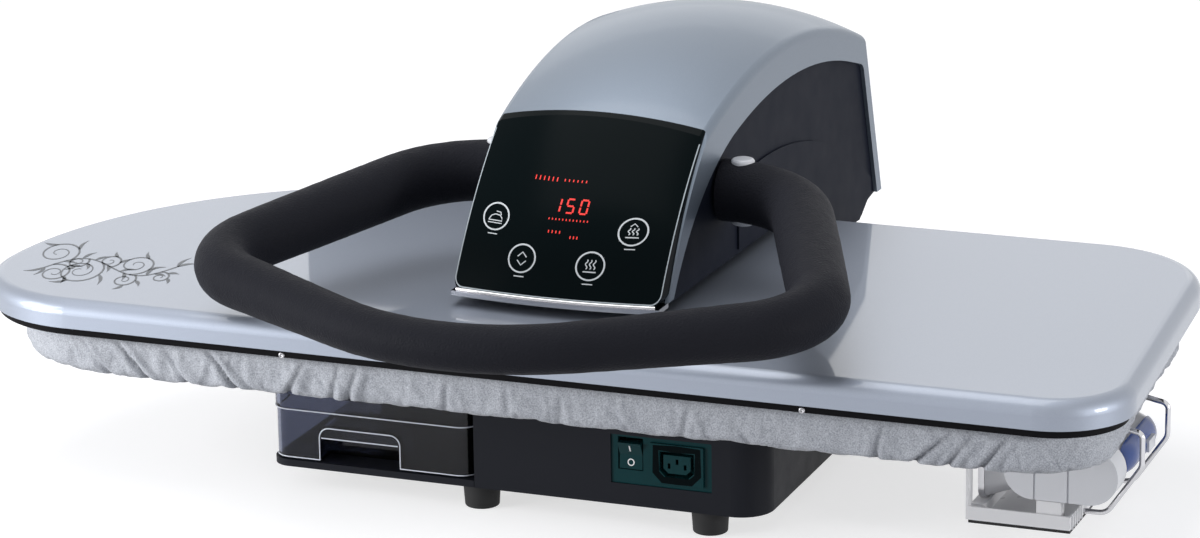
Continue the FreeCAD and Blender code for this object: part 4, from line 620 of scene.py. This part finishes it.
# %% Sweep the sleeve
sleeve_inputs = (("Root radius", "NodeSocketFloat", 0.0263), ("Bar radius", "NodeSocketFloat", 0.0193),
                 ("Unevenness", "NodeSocketFloat", 0.0007))
tree = node_group("foam_sleeve_rule", sleeve_inputs)
come = put(tree, "NodeGroupInput")
line = put(tree, "GeometryNodeMeshToCurve", {"Mesh": come.outputs["Geometry"]})
bend = put(tree, "GeometryNodeInputNamedAttribute", {"Name": "bend"}, data_type="FLOAT")
round_line = put(tree, "GeometryNodeFilletCurve", {"Count": 24, "Limit Radius": True},
                 {"Curve": line.outputs["Curve"], "Radius": bend.outputs["Attribute"]}, mode="POLY")
even = put(tree, "GeometryNodeResampleCurve", {"Length": 0.004}, {"Curve": round_line.outputs["Curve"]},
           mode="LENGTH")
share = put(tree, "GeometryNodeSplineParameter")
turn = put(tree, "ShaderNodeMath", {1: math.pi}, {0: share.outputs["Factor"]}, operation="MULTIPLY")
wave = put(tree, "ShaderNodeMath", {0: turn.outputs[0]}, operation="SINE")
steep = put(tree, "ShaderNodeMath", {1: 4.0}, {0: wave.outputs[0]}, operation="POWER")
thick = put(tree, "ShaderNodeMapRange",
            {"Value": steep.outputs[0], "To Min": come.outputs["Root radius"],
             "To Max": come.outputs["Bar radius"]})
ring = put(tree, "GeometryNodeCurvePrimitiveCircle", {"Resolution": 40, "Radius": 1.0}, mode="RADIUS")
swept = put(tree, "GeometryNodeCurveToMesh", {"Fill Caps": True},
            {"Curve": even.outputs["Curve"], "Profile Curve": ring.outputs["Curve"],
             "Scale": thick.outputs["Result"]})
skin = put(tree, "ShaderNodeTexNoise", {"Scale": 90.0, "Detail": 2.0})
centred = put(tree, "ShaderNodeMath", {1: 0.5}, {0: skin.outputs["Fac"]}, operation="SUBTRACT")
amount = put(tree, "ShaderNodeMath", {0: centred.outputs[0], 1: come.outputs["Unevenness"]},
             operation="MULTIPLY")
facing = put(tree, "GeometryNodeInputNormal")
shift = put(tree, "ShaderNodeVectorMath", {0: facing.outputs["Normal"], "Scale": amount.outputs[0]},
            operation="SCALE")
moved = put(tree, "GeometryNodeSetPosition",
            {"Geometry": swept.outputs["Mesh"], "Offset": shift.outputs["Vector"]})
smooth = put(tree, "GeometryNodeSetShadeSmooth", {"Geometry": moved.outputs["Geometry"]})
deliver(tree, smooth.outputs["Geometry"], foam_black)
run_group(sleeve, tree, sleeve_inputs)


def outward_faces(piece):
    """Merge doubled points and turn every face outward."""
    return reworked(piece, lambda mesh: bmesh.ops.remove_doubles(mesh, verts=mesh.verts, dist=0.00001))


outward_faces(sleeve)
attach(sleeve, "handle")
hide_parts("handle_grip")
print("sleeve faces", len(sleeve.data.polygons), [round(c, 3) for c in sleeve.dimensions])

# %% Round wires by the same kind of rule
wire_inputs = (("Radius", "NodeSocketFloat", 0.0), ("Finish", "NodeSocketMaterial", None))
wire_rule = node_group("round_wire_rule", wire_inputs)
come = put(wire_rule, "NodeGroupInput")
line = put(wire_rule, "GeometryNodeMeshToCurve", {"Mesh": come.outputs["Geometry"]})
ring = put(wire_rule, "GeometryNodeCurvePrimitiveCircle", {"Resolution": 10},
           {"Radius": come.outputs["Radius"]}, mode="RADIUS")
swept = put(wire_rule, "GeometryNodeCurveToMesh", {"Fill Caps": True},
            {"Curve": line.outputs["Curve"], "Profile Curve": ring.outputs["Curve"]})
smooth = put(wire_rule, "GeometryNodeSetShadeSmooth", {"Geometry": swept.outputs["Mesh"]})
deliver(wire_rule, smooth.outputs["Geometry"], come.outputs["Finish"])


def wires(name, lines, radius, made):
    """One mesh of round wires along lines of points in metres."""
    points, edges = [], []
    for places in lines:
        edges += [(len(points) + k, len(points) + k + 1) for k in range(len(places) - 1)]
        points += [tuple(p) for p in places]
    mesh = bpy.data.meshes.new(name)
    mesh.from_pydata(points, edges, [])
    piece = bpy.data.objects.new(name, mesh)
    scene.collection.objects.link(piece)
    run_group(piece, wire_rule, (("Radius", None, radius), ("Finish", None, made)))
    return outward_faces(piece)


# %% [markdown]
# ## Control panel marks
# The glossy fascia is one doubly curved window with marks printed behind it and a red display. The marks are
# drawn flat in millimetres, as strokes and rings, and then laid on the curved face, so that a ring stays
# round on the slope. The pictures are plain laundry signs, and the display shows a plain number.


# %% The fascia's face as a rule
FOOT_Y, FOOT_Z, RUN_Y, RUN_Z, BULGE, HALF = -126.0, 181.5, 104.0, 117.5, 7.0, 92.0
BOW_LOW, BOW_RISE, PRINT_LIFT = 8.0, 14.0, 0.15
half_run = math.hypot(RUN_Y, RUN_Z) / 2
face_radius = (half_run ** 2 + BULGE ** 2) / (2 * BULGE)
face_out = Vector((-RUN_Z, RUN_Y)).normalized()
face_mid = Vector((FOOT_Y + RUN_Y / 2, FOOT_Z + RUN_Z / 2)) - face_out * (face_radius - BULGE)


def face_y(x, z):
    """Depth of the fascia's face at a place across and up."""
    front = face_mid[0] - math.sqrt(face_radius ** 2 - (z - face_mid[1]) ** 2)
    bow = BOW_LOW + BOW_RISE * (z - FOOT_Z) / RUN_Z
    across = (HALF ** 2 + bow ** 2) / (2 * bow)
    return front - bow + across - math.sqrt(across ** 2 - x ** 2)


def on_face(x, z, lift=PRINT_LIFT):
    """A point just in front of the fascia."""
    slope_x = (face_y(x + 0.5, z) - face_y(x - 0.5, z))
    slope_z = (face_y(x, z + 0.5) - face_y(x, z - 0.5))
    away = Vector((slope_x, -1.0, slope_z)).normalized()
    return mm(x, face_y(x, z), z) + away * lift / 1000


def stroke(points, width, closed=False):
    """Two corner points of a flat band at each place of a line; width may be a function of the share."""
    pairs = []
    last = len(points) - 1
    for i, p in enumerate(points):
        before = points[i - 1] if i or closed else points[i]
        after = points[(i + 1) % len(points)] if i < last or closed else points[i]
        along = (Vector(after) - Vector(before)).normalized()
        wide = width(i / last) if callable(width) else width
        side = Vector((-along.y, along.x)) * wide / 2
        pairs.append((Vector(p) + side, Vector(p) - side))
    return pairs


def band_faces(first, count, closed):
    """Faces between the pairs of a band whose points start at a number."""
    ends = count if closed else count - 1
    return [(first + 2 * i, first + 2 * i + 1, first + 2 * ((i + 1) % count) + 1, first + 2 * ((i + 1) % count))
            for i in range(ends)]


FILM = 0.00018


def printed(name, bands, laid, made):
    """One closed film from bands (points, width, closed, middle), laid on a surface by a function."""
    points, faces = [], []
    for line, width, closed, middle in bands:
        pairs = stroke(line, width, closed)
        faces += band_faces(len(points), len(pairs), closed)
        points += [laid(p, middle) for pair in pairs for p in pair]
    film = new_piece(name, points, faces, made, smooth=False)
    return reworked(film, lambda mesh: bmesh.ops.solidify(mesh, geom=mesh.faces[:], thickness=FILM))


def on_fascia(p, middle):
    """A flat drawing point, in millimetres from its middle, laid on the slope of the fascia."""
    x, z = middle
    slope = face_y(x, z + 0.5) - face_y(x, z - 0.5)
    return on_face(x + p.x, z + p.y / math.hypot(1.0, slope))


def arc(radius, start=0.0, end=360.0, steps=40):
    """Points along part of a circle."""
    closed = end - start >= 360
    turns = [math.radians(start + (end - start) * k / (steps if closed else steps - 1)) for k in range(steps)]
    return [(radius * math.cos(a), radius * math.sin(a)) for a in turns]


# %% Buttons and their signs
RING_RADIUS, RING_WIDTH, FINE, BOLD = 12.0, 1.4, 0.9, 1.0


def steam_sign(left, high):
    """Three rising waves over a short bar."""
    waves = [[(left + k * 3.4 + 0.9 * math.sin(t * 0.9), -2.6 + t * high / 10) for t in range(11)]
             for k in range(3)]
    return [(w, FINE, False) for w in waves] + [([(left - 2.2, -5.0), (left + 9.0, -5.0)], BOLD, False)]


iron_body = [(-6.6, -3.6), (6.4, -3.6), (5.6, -0.6), (3.4, 1.4), (-1.0, 2.0), (-4.6, 0.4), (-6.6, -3.6)]
iron_bow = [(4.4, 1.6), (3.6, 4.2), (-0.6, 4.6)]
iron_sign = [(iron_body, FINE, False), (iron_bow, FINE, False), ([(-6.8, -5.8), (6.6, -5.8)], 0.8, False)]
step_sign = [([(-4.0, 1.4), (0.0, 5.4), (4.0, 1.4)], BOLD, False),
             ([(-4.0, -1.8), (0.0, -5.8), (4.0, -1.8)], BOLD, False)]
burst_sign = steam_sign(-3.4, 6.0) + [([(-3.0, 4.8), (0.0, 7.4), (3.0, 4.8)], FINE, False)]
BUTTONS = ((-65.0, 238.0, iron_sign), (58.0, 236.0, burst_sign), (-33.0, 211.0, step_sign),
           (28.0, 210.0, steam_sign(-3.4, 8.0)))
pale_print = grain(finish("pale_print", (0.62, 0.65, 0.67), 0.4, Specular_IOR_Level=0.1), 900, 0.00001,
                   rough=(80, 0.36, 0.5))
bands = []
for x, z, sign in BUTTONS:
    bands.append((arc(RING_RADIUS), RING_WIDTH, True, (x, z)))
    bands += [(line, width, closed, (x, z)) for line, width, closed in sign]
    bands.append(([(-4.5, -15.6), (4.5, -15.6)], FINE, False, (x, z)))
marks = printed("fascia_marks", bands, on_fascia, pale_print)
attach(marks, "head")
print("buttons", len(BUTTONS), "faces", len(marks.data.polygons))

# %% The red display
lit_red = finish("lit_red", (0.30, 0.004, 0.004), 0.4, Emission_Color=(1.0, 0.035, 0.02, 1.0),
                 Emission_Strength=0.75)
grain(lit_red, 1200, 0.00001, rough=(90, 0.35, 0.5))
SEGMENTS = {"a": ((-2.6, 6.2), (2.6, 6.2)), "b": ((3.3, 5.6), (3.1, 0.6)), "c": ((3.0, -0.6), (2.8, -5.6)),
            "d": ((-2.9, -6.2), (2.3, -6.2)), "e": ((-3.4, -5.6), (-3.2, -0.6)),
            "f": ((-3.1, 0.6), (-2.9, 5.6)), "g": ((-2.7, 0.0), (2.6, 0.0))}
DIGITS = {"1": "bc", "5": "acdfg", "0": "abcdef"}
SEGMENT_WIDTH, DIGIT_X, DIGIT_STEP, DIGIT_Z = 1.5, -11.5, 12.0, 251.5
bands = []
for k, digit in enumerate("150"):
    for letter in DIGITS[digit]:
        bands.append((list(SEGMENTS[letter]), SEGMENT_WIDTH, False, (DIGIT_X + DIGIT_STEP * k, DIGIT_Z)))
TICK_ROWS = ((-37, -17, 269.0, 6, 4.0), (-10, 9, 269.0, 6, 2.2), (-16, 18, 241.6, 12, 1.6),
             (-14, -4, 232.5, 4, 2.4), (6, 12, 229.5, 3, 2.4))
for first, last, z, ticks, tall in TICK_ROWS:
    for k in range(ticks):
        x = first + (last - first) * k / (ticks - 1)
        bands.append(([(0.0, -tall / 2), (0.0, tall / 2)], FINE, False, (x, z)))
display = printed("fascia_display", bands, on_fascia, lit_red)
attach(display, "head")
print("display faces", len(display.data.polygons))

# %% Painted highlight along the fascia's clear edge
# A pale strip laid along the sides and foot of the fascia's face is a painted highlight on its clear edge.
clear_edge = grain(finish("clear_edge", (0.40, 0.45, 0.48), 0.12, Specular_IOR_Level=0.5), 300, 0.00001,
                   rough=(60, 0.08, 0.2))
EDGE_X, EDGE_LOW, EDGE_HIGH, EDGE_CORNER = HALF - 0.9, 184.2, 296.0, 8.0
EDGE_STEP, EDGE_WIDTH = 3.0, 0.9
side_steps = int((EDGE_HIGH - EDGE_LOW - EDGE_CORNER) / EDGE_STEP)
half_edge = [(EDGE_X, EDGE_HIGH - EDGE_STEP * k) for k in range(side_steps)]
half_edge += [(EDGE_X - EDGE_CORNER + x, EDGE_LOW + EDGE_CORNER + z) for x, z in arc(EDGE_CORNER, 0, -90, 9)]
half_edge += [((EDGE_X - EDGE_CORNER) * (1 - k / 20), EDGE_LOW) for k in range(1, 21)]
edge = half_edge + [(-x, z) for x, z in reversed(half_edge[:-1])]
rim = printed("fascia_edge", [(edge, EDGE_WIDTH, False, None)], lambda p, middle: on_face(p.x, p.y), clear_edge)
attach(rim, "head")
print("edge faces", len(rim.data.polygons))

# %% Bright bead under the fascia
BEAD_LEFT, BEAD_STEP, BEAD_Z, BEAD_LIFT, BEAD_RADIUS = -88.0, 4.0, 182.2, 0.6, 0.0013
bead_line = [on_face(BEAD_LEFT + BEAD_STEP * k, BEAD_Z, BEAD_LIFT) for k in range(45)]
bead = wires("fascia_bead", [bead_line], BEAD_RADIUS, bright)
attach(bead, "head")
print("bead faces", len(bead.data.polygons))

# %% [markdown]
# ## Painted highlights on the edges of the clear tank
# Moulded clear plastic gathers light in its edges, so the seam of the lid, the foot and the finger recess
# show as thin bright lines. Pale wires paint these highlights, swept by the wire rule along the tank's own
# outline.

# %% Painted highlights on the tank's edge lines
TANK_LEFT, TANK_RIGHT, TANK_FRONT, TANK_FOOT, LID_SEAT, TANK_CORNER = -249.0, -63.0, -158.0, 28.0, 72.0, 16.0
GRIP_LEFT, GRIP_RIGHT, GRIP_TOP, GRIP_LIP, GRIP_ROUND = -204.0, -130.0, 58.0, 9.0, 9.0
# Painted highlight: pale lines stand in for the light that the clear plastic gathers in its edges.
light_edge = grain(finish("light_edge", (0.62, 0.65, 0.72), 0.15), 300, 0.00001, rough=(60, 0.1, 0.22))


def tank_round(z, inset, first, last):
    """Part of the tank's front outline at a height, between two places across."""
    r = TANK_CORNER - inset
    left = [(TANK_LEFT + inset + r + x, TANK_FRONT + inset + r + y) for x, y in arc(r, 180, 270, 9)]
    right = [(TANK_RIGHT - inset - r + x, TANK_FRONT + inset + r + y) for x, y in arc(r, 270, 360, 9)]
    line = [(left[0][0], left[0][1] + 40.0)] + left + right + [(right[-1][0], right[-1][1] + 10.0)]
    return [mm(x, y, z) for x, y in line if first <= x <= last]


TANK_STEP, TANK_LINE = 1.2, 0.00055
face, foot = TANK_FRONT + TANK_STEP, TANK_FOOT + 1.4
lines = [tank_round(LID_SEAT, -0.1, TANK_LEFT - 1, TANK_RIGHT + 1)]
lines.append(tank_round(foot, TANK_STEP, TANK_LEFT, GRIP_LEFT) + [mm(GRIP_LEFT, face, foot)])
lines.append([mm(GRIP_RIGHT, face, foot)] + tank_round(foot, TANK_STEP, GRIP_RIGHT, TANK_RIGHT))
rim_line = [(GRIP_LEFT, foot)]
rim_line += [(GRIP_LEFT + GRIP_ROUND + x, GRIP_TOP - GRIP_ROUND + z) for x, z in arc(GRIP_ROUND, 180, 90, 8)]
rim_line += [(GRIP_RIGHT - GRIP_ROUND + x, GRIP_TOP - GRIP_ROUND + z) for x, z in arc(GRIP_ROUND, 90, 0, 8)]
rim_line += [(GRIP_RIGHT, foot)]
lines.append([mm(x, face, z) for x, z in rim_line])
lines.append([mm(GRIP_LEFT + 2, face, GRIP_TOP - GRIP_LIP), mm(GRIP_RIGHT - 2, face, GRIP_TOP - GRIP_LIP)])
edges = wires("tank_edges", lines, TANK_LINE, light_edge)
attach(edges, "tank")
print("edge faces", len(edges.data.polygons))

# %% [markdown]
# ## Ornament, screws and switch signs
# A light scroll is engraved on the platen's nose: spirals that grow out of one stem, a motif used on ironwork
# for centuries. It is drawn as thin bands on the flat top, and each curl leaves the stem at an angle of its
# own. The screws of the band, the hood's tail and the base repeat, so Geometry Nodes set one turned
# screw on every point of a small mesh, turned to face out of the piece. The rocker carries the usual signs
# for on and off.


# %% Engraved scroll on the nose
def heading(line, share):
    """A point of a line at a share of its length, and the direction of the line there."""
    k = min(len(line) - 2, int(share * (len(line) - 1)))
    (x, y), (ahead, up) = line[k], line[k + 1]
    return x, y, math.degrees(math.atan2(up - y, ahead - x))


def curl(line, share, radius, turns, hand, off, steps=46):
    """A spiral that leaves a line at a share of its length, off degrees to its side, and ends in its eye."""
    x, y, way = heading(line, share)
    out = math.radians(way + hand * off)
    mid = (x - hand * radius * math.sin(out), y + hand * radius * math.cos(out))
    grown = []
    for k in range(steps):
        part = k / (steps - 1)
        a = out - hand * math.pi / 2 + hand * turns * 2 * math.pi * part
        r = radius * (1 - 0.86 * part)
        grown.append((mid[0] + r * math.cos(a), mid[1] + r * math.sin(a)))
    return grown


def leaf(x, y, length, turn):
    """The midrib of a leaf, a little curved; its width is given by leaf_width."""
    c, s = math.cos(math.radians(turn)), math.sin(math.radians(turn))
    rib = [(length * k / 15, 0.12 * length * math.sin(math.pi * k / 15)) for k in range(16)]
    return [(x + px * c - py * s, y + px * s + py * c) for px, py in rib]


def leaf_width(share):
    """Pointed at both ends and widest before the middle."""
    return 0.2 + 3.2 * math.sin(math.pi * share ** 0.7) ** 1.3


def vine_width(share):
    """A stroke that thins towards its end."""
    return 1.9 - 1.2 * share


TOP_Z, SCROLL_LIFT = 169.5, 0.12
engraved = grain(finish("engraved_line", (0.10, 0.11, 0.125), 0.45, 0.5), 900, 0.00002, rough=(80, 0.38, 0.52))
stem = [(-60.0 + 1.9 * k, 15.0 * math.sin(k * 0.105)) for k in range(62)]
bands = [(stem, 1.6, False, None)]
CURLS = ((0.05, 15, 1.7, -1, 20), (0.17, 19, 1.8, 1, 30), (0.30, 10, 1.5, -1, 42), (0.41, 21, 1.9, -1, 12),
         (0.50, 11, 1.5, 1, 60), (0.66, 17, 1.8, 1, 14), (0.72, 11, 1.5, -1, 40), (0.90, 9, 1.4, -1, 30))
for share, radius, turns, hand, off in CURLS:
    grown = curl(stem, share, radius, turns, hand, off)
    bands.append((grown, vine_width, False, None))
    for part, size in ((0.10, 0.62), (0.24, 0.50)):
        x, y, way = heading(grown, part)
        bands.append((leaf(x, y, 5 + size * radius, way - hand * 42), leaf_width, False, None))
LEAVES = ((0.0, 18, 160), (0.0, 15, 206), (0.12, 13, -50), (0.25, 14, 52), (0.36, 13, 56), (0.47, 12, -40),
          (0.58, 14, 48), (0.62, 13, -52), (0.80, 13, 50), (0.84, 12, -48), (0.99, 18, 22), (0.99, 17, -22))
for share, length, off in LEAVES:
    x, y, way = heading(stem, share)
    bands.append((leaf(x, y, length, way + off), leaf_width, False, None))
SCROLL_X, SCROLL_Y, SCROLL_TURN, SCROLL_DEEP = -410.0, -120.0, math.radians(18.4), 1.75


def on_nose(p, middle):
    """A flat drawing point laid on the platen's top."""
    c, s = math.cos(SCROLL_TURN), math.sin(SCROLL_TURN)
    deep = p.y * SCROLL_DEEP
    return mm(SCROLL_X + p.x * c - deep * s, SCROLL_Y + p.x * s + deep * c, TOP_Z + SCROLL_LIFT)


scroll = printed("nose_scroll", bands, on_nose, engraved)
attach(scroll, "platen")
print("scroll faces", len(scroll.data.polygons))


# %% Turned screws
def turned(name, profile, steps, made):
    """A solid turned round the Y axis from (radius, depth) points in millimetres."""
    turns = [2 * math.pi * k / steps for k in range(steps)]
    points = [(r * math.cos(a) / 1000, y / 1000, r * math.sin(a) / 1000) for r, y in profile for a in turns]
    faces = []
    for i in range(len(profile) - 1):
        here, below = i * steps, (i + 1) * steps
        faces += [(here + k, here + (k + 1) % steps, below + (k + 1) % steps, below + k) for k in range(steps)]
    faces += [tuple(reversed(range(steps))), tuple(range((len(profile) - 1) * steps, len(profile) * steps))]
    return outward_faces(new_piece(name, points, faces, made))


seat_rule = node_group("screws_on_seats", (("Screw", "NodeSocketObject", None),))
come = put(seat_rule, "NodeGroupInput")
info = put(seat_rule, "GeometryNodeObjectInfo", {"Object": come.outputs["Screw"]})
inward = put(seat_rule, "GeometryNodeInputNamedAttribute", {"Name": "inward"}, data_type="FLOAT_VECTOR")
turn = put(seat_rule, "FunctionNodeAlignRotationToVector", {"Vector": inward.outputs["Attribute"]},
           axis="Y")
each = put(seat_rule, "GeometryNodeInstanceOnPoints",
           {"Points": come.outputs["Geometry"], "Instance": info.outputs["Geometry"],
            "Rotation": turn.outputs["Rotation"]})
deliver(seat_rule, each.outputs["Instances"], steel)


def screw_set(name, seats, body):
    """Screws on seats, each a point in metres and the direction into the piece, as one mesh of one body."""
    mesh = bpy.data.meshes.new(name)
    mesh.from_pydata([tuple(p) for p, _ in seats], [], [])
    inward = mesh.attributes.new("inward", "FLOAT_VECTOR", "POINT")
    for k, (_, way) in enumerate(seats):
        inward.data[k].vector = way
    piece = bpy.data.objects.new(name, mesh)
    scene.collection.objects.link(piece)
    one = turned(name + "_one", SCREW, 24, steel)
    run_group(piece, seat_rule, (("Screw", None, one),))
    bpy.data.objects.remove(one)
    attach(piece, body)
    print(name, len(seats), "faces", len(piece.data.polygons))


SCREW = ((2.7, 0.6), (2.7, -0.4), (2.4, -0.8), (1.8, -1.1), (1.3, -1.15), (1.2, -0.2), (0.3, -0.1))
BAND_SCREW_X, BAND_SCREW_Z = (-206.0, 246.0), 0.1405
BASE_SCREW_X, BASE_SCREW_Z = (-226.0, 168.0), (0.036, 0.096)
TAIL_LOW, TAIL_HIGH = Vector((429.0, 141.0)), Vector((382.0, 296.0))
TAIL_SCREW_X, TAIL_SHARES = 72.0, (0.08, 0.80)
band_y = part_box("insulating_band")[0][1]
band_seats = [(Vector((mm(x, 0, 0).x, band_y, BAND_SCREW_Z)), (0, 1, 0)) for x in BAND_SCREW_X]
screw_set("band_screws", band_seats, "platen")
tail_run = TAIL_HIGH - TAIL_LOW
tail_in = Vector((0.0, -tail_run.y, tail_run.x)).normalized()
tail_seats = []
for share in TAIL_SHARES:
    y, z = TAIL_LOW.lerp(TAIL_HIGH, share)
    tail_seats += [(mm(x, y, z), tail_in) for x in (-TAIL_SCREW_X, TAIL_SCREW_X)]
screw_set("tail_screws", tail_seats, "head")
base_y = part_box("base_housing")[1][1]
base_seats = [(Vector((mm(x, 0, 0).x, base_y, z)), (0, -1, 0)) for x in BASE_SCREW_X for z in BASE_SCREW_Z]
screw_set("base_screws", base_seats, "base")

# %% Signs on the rocker
ROCKER_X, ROCKER_Y, ROCKER_Z, ROCKER_TILT = 77.0, -151.5, 66.0, math.radians(12.0)
ROCKER_DEEP, ROCKER_RISE, ROCKER_HALF, SIGN_Z = 5.0, 3.0, 12.0, 6.4
white_print = grain(finish("white_print", (0.80, 0.80, 0.80), 0.4), 900, 0.00001, rough=(80, 0.36, 0.5))


def on_rocker(p, middle):
    """A flat drawing point laid on the rocker's upper or lower face."""
    z = p.y + middle
    y = -ROCKER_DEEP - ROCKER_RISE * abs(z) / ROCKER_HALF - PRINT_LIFT
    c, s = math.cos(ROCKER_TILT), math.sin(ROCKER_TILT)
    return mm(ROCKER_X + p.x, ROCKER_Y + y * c - z * s, ROCKER_Z + y * s + z * c)


bands = [([(0.0, -2.9), (0.0, 2.9)], 1.1, False, SIGN_Z), (arc(2.6, steps=28), FINE, True, -SIGN_Z)]
signs = printed("rocker_signs", bands, on_rocker, white_print)
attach(signs, "switch")
print("sign faces", len(signs.data.polygons))

# %% Black frame round the outlet
SOCKET_X, SOCKET_Y, SOCKET_Z = 118.0, -160.0, 61.0
SOCKET_HALF, SOCKET_HIGH, SOCKET_CUT, FRAME_WIDTH, FRAME_LIFT = 18.2, 13.6, 6.1, 6.0, 0.2
half_frame = [(0.0, SOCKET_HIGH), (SOCKET_HALF, SOCKET_HIGH), (SOCKET_HALF, SOCKET_CUT - SOCKET_HIGH),
              (SOCKET_HALF - SOCKET_CUT, -SOCKET_HIGH), (0.0, -SOCKET_HIGH)]
frame_line = half_frame + [(-x, z) for x, z in reversed(half_frame[1:-1])]
surround = printed("outlet_frame", [(frame_line, FRAME_WIDTH, True, None)],
                   lambda p, middle: mm(SOCKET_X + p.x, SOCKET_Y - FRAME_LIFT, SOCKET_Z + p.y), glass_black)
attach(surround, "base")
print("frame faces", len(surround.data.polygons))
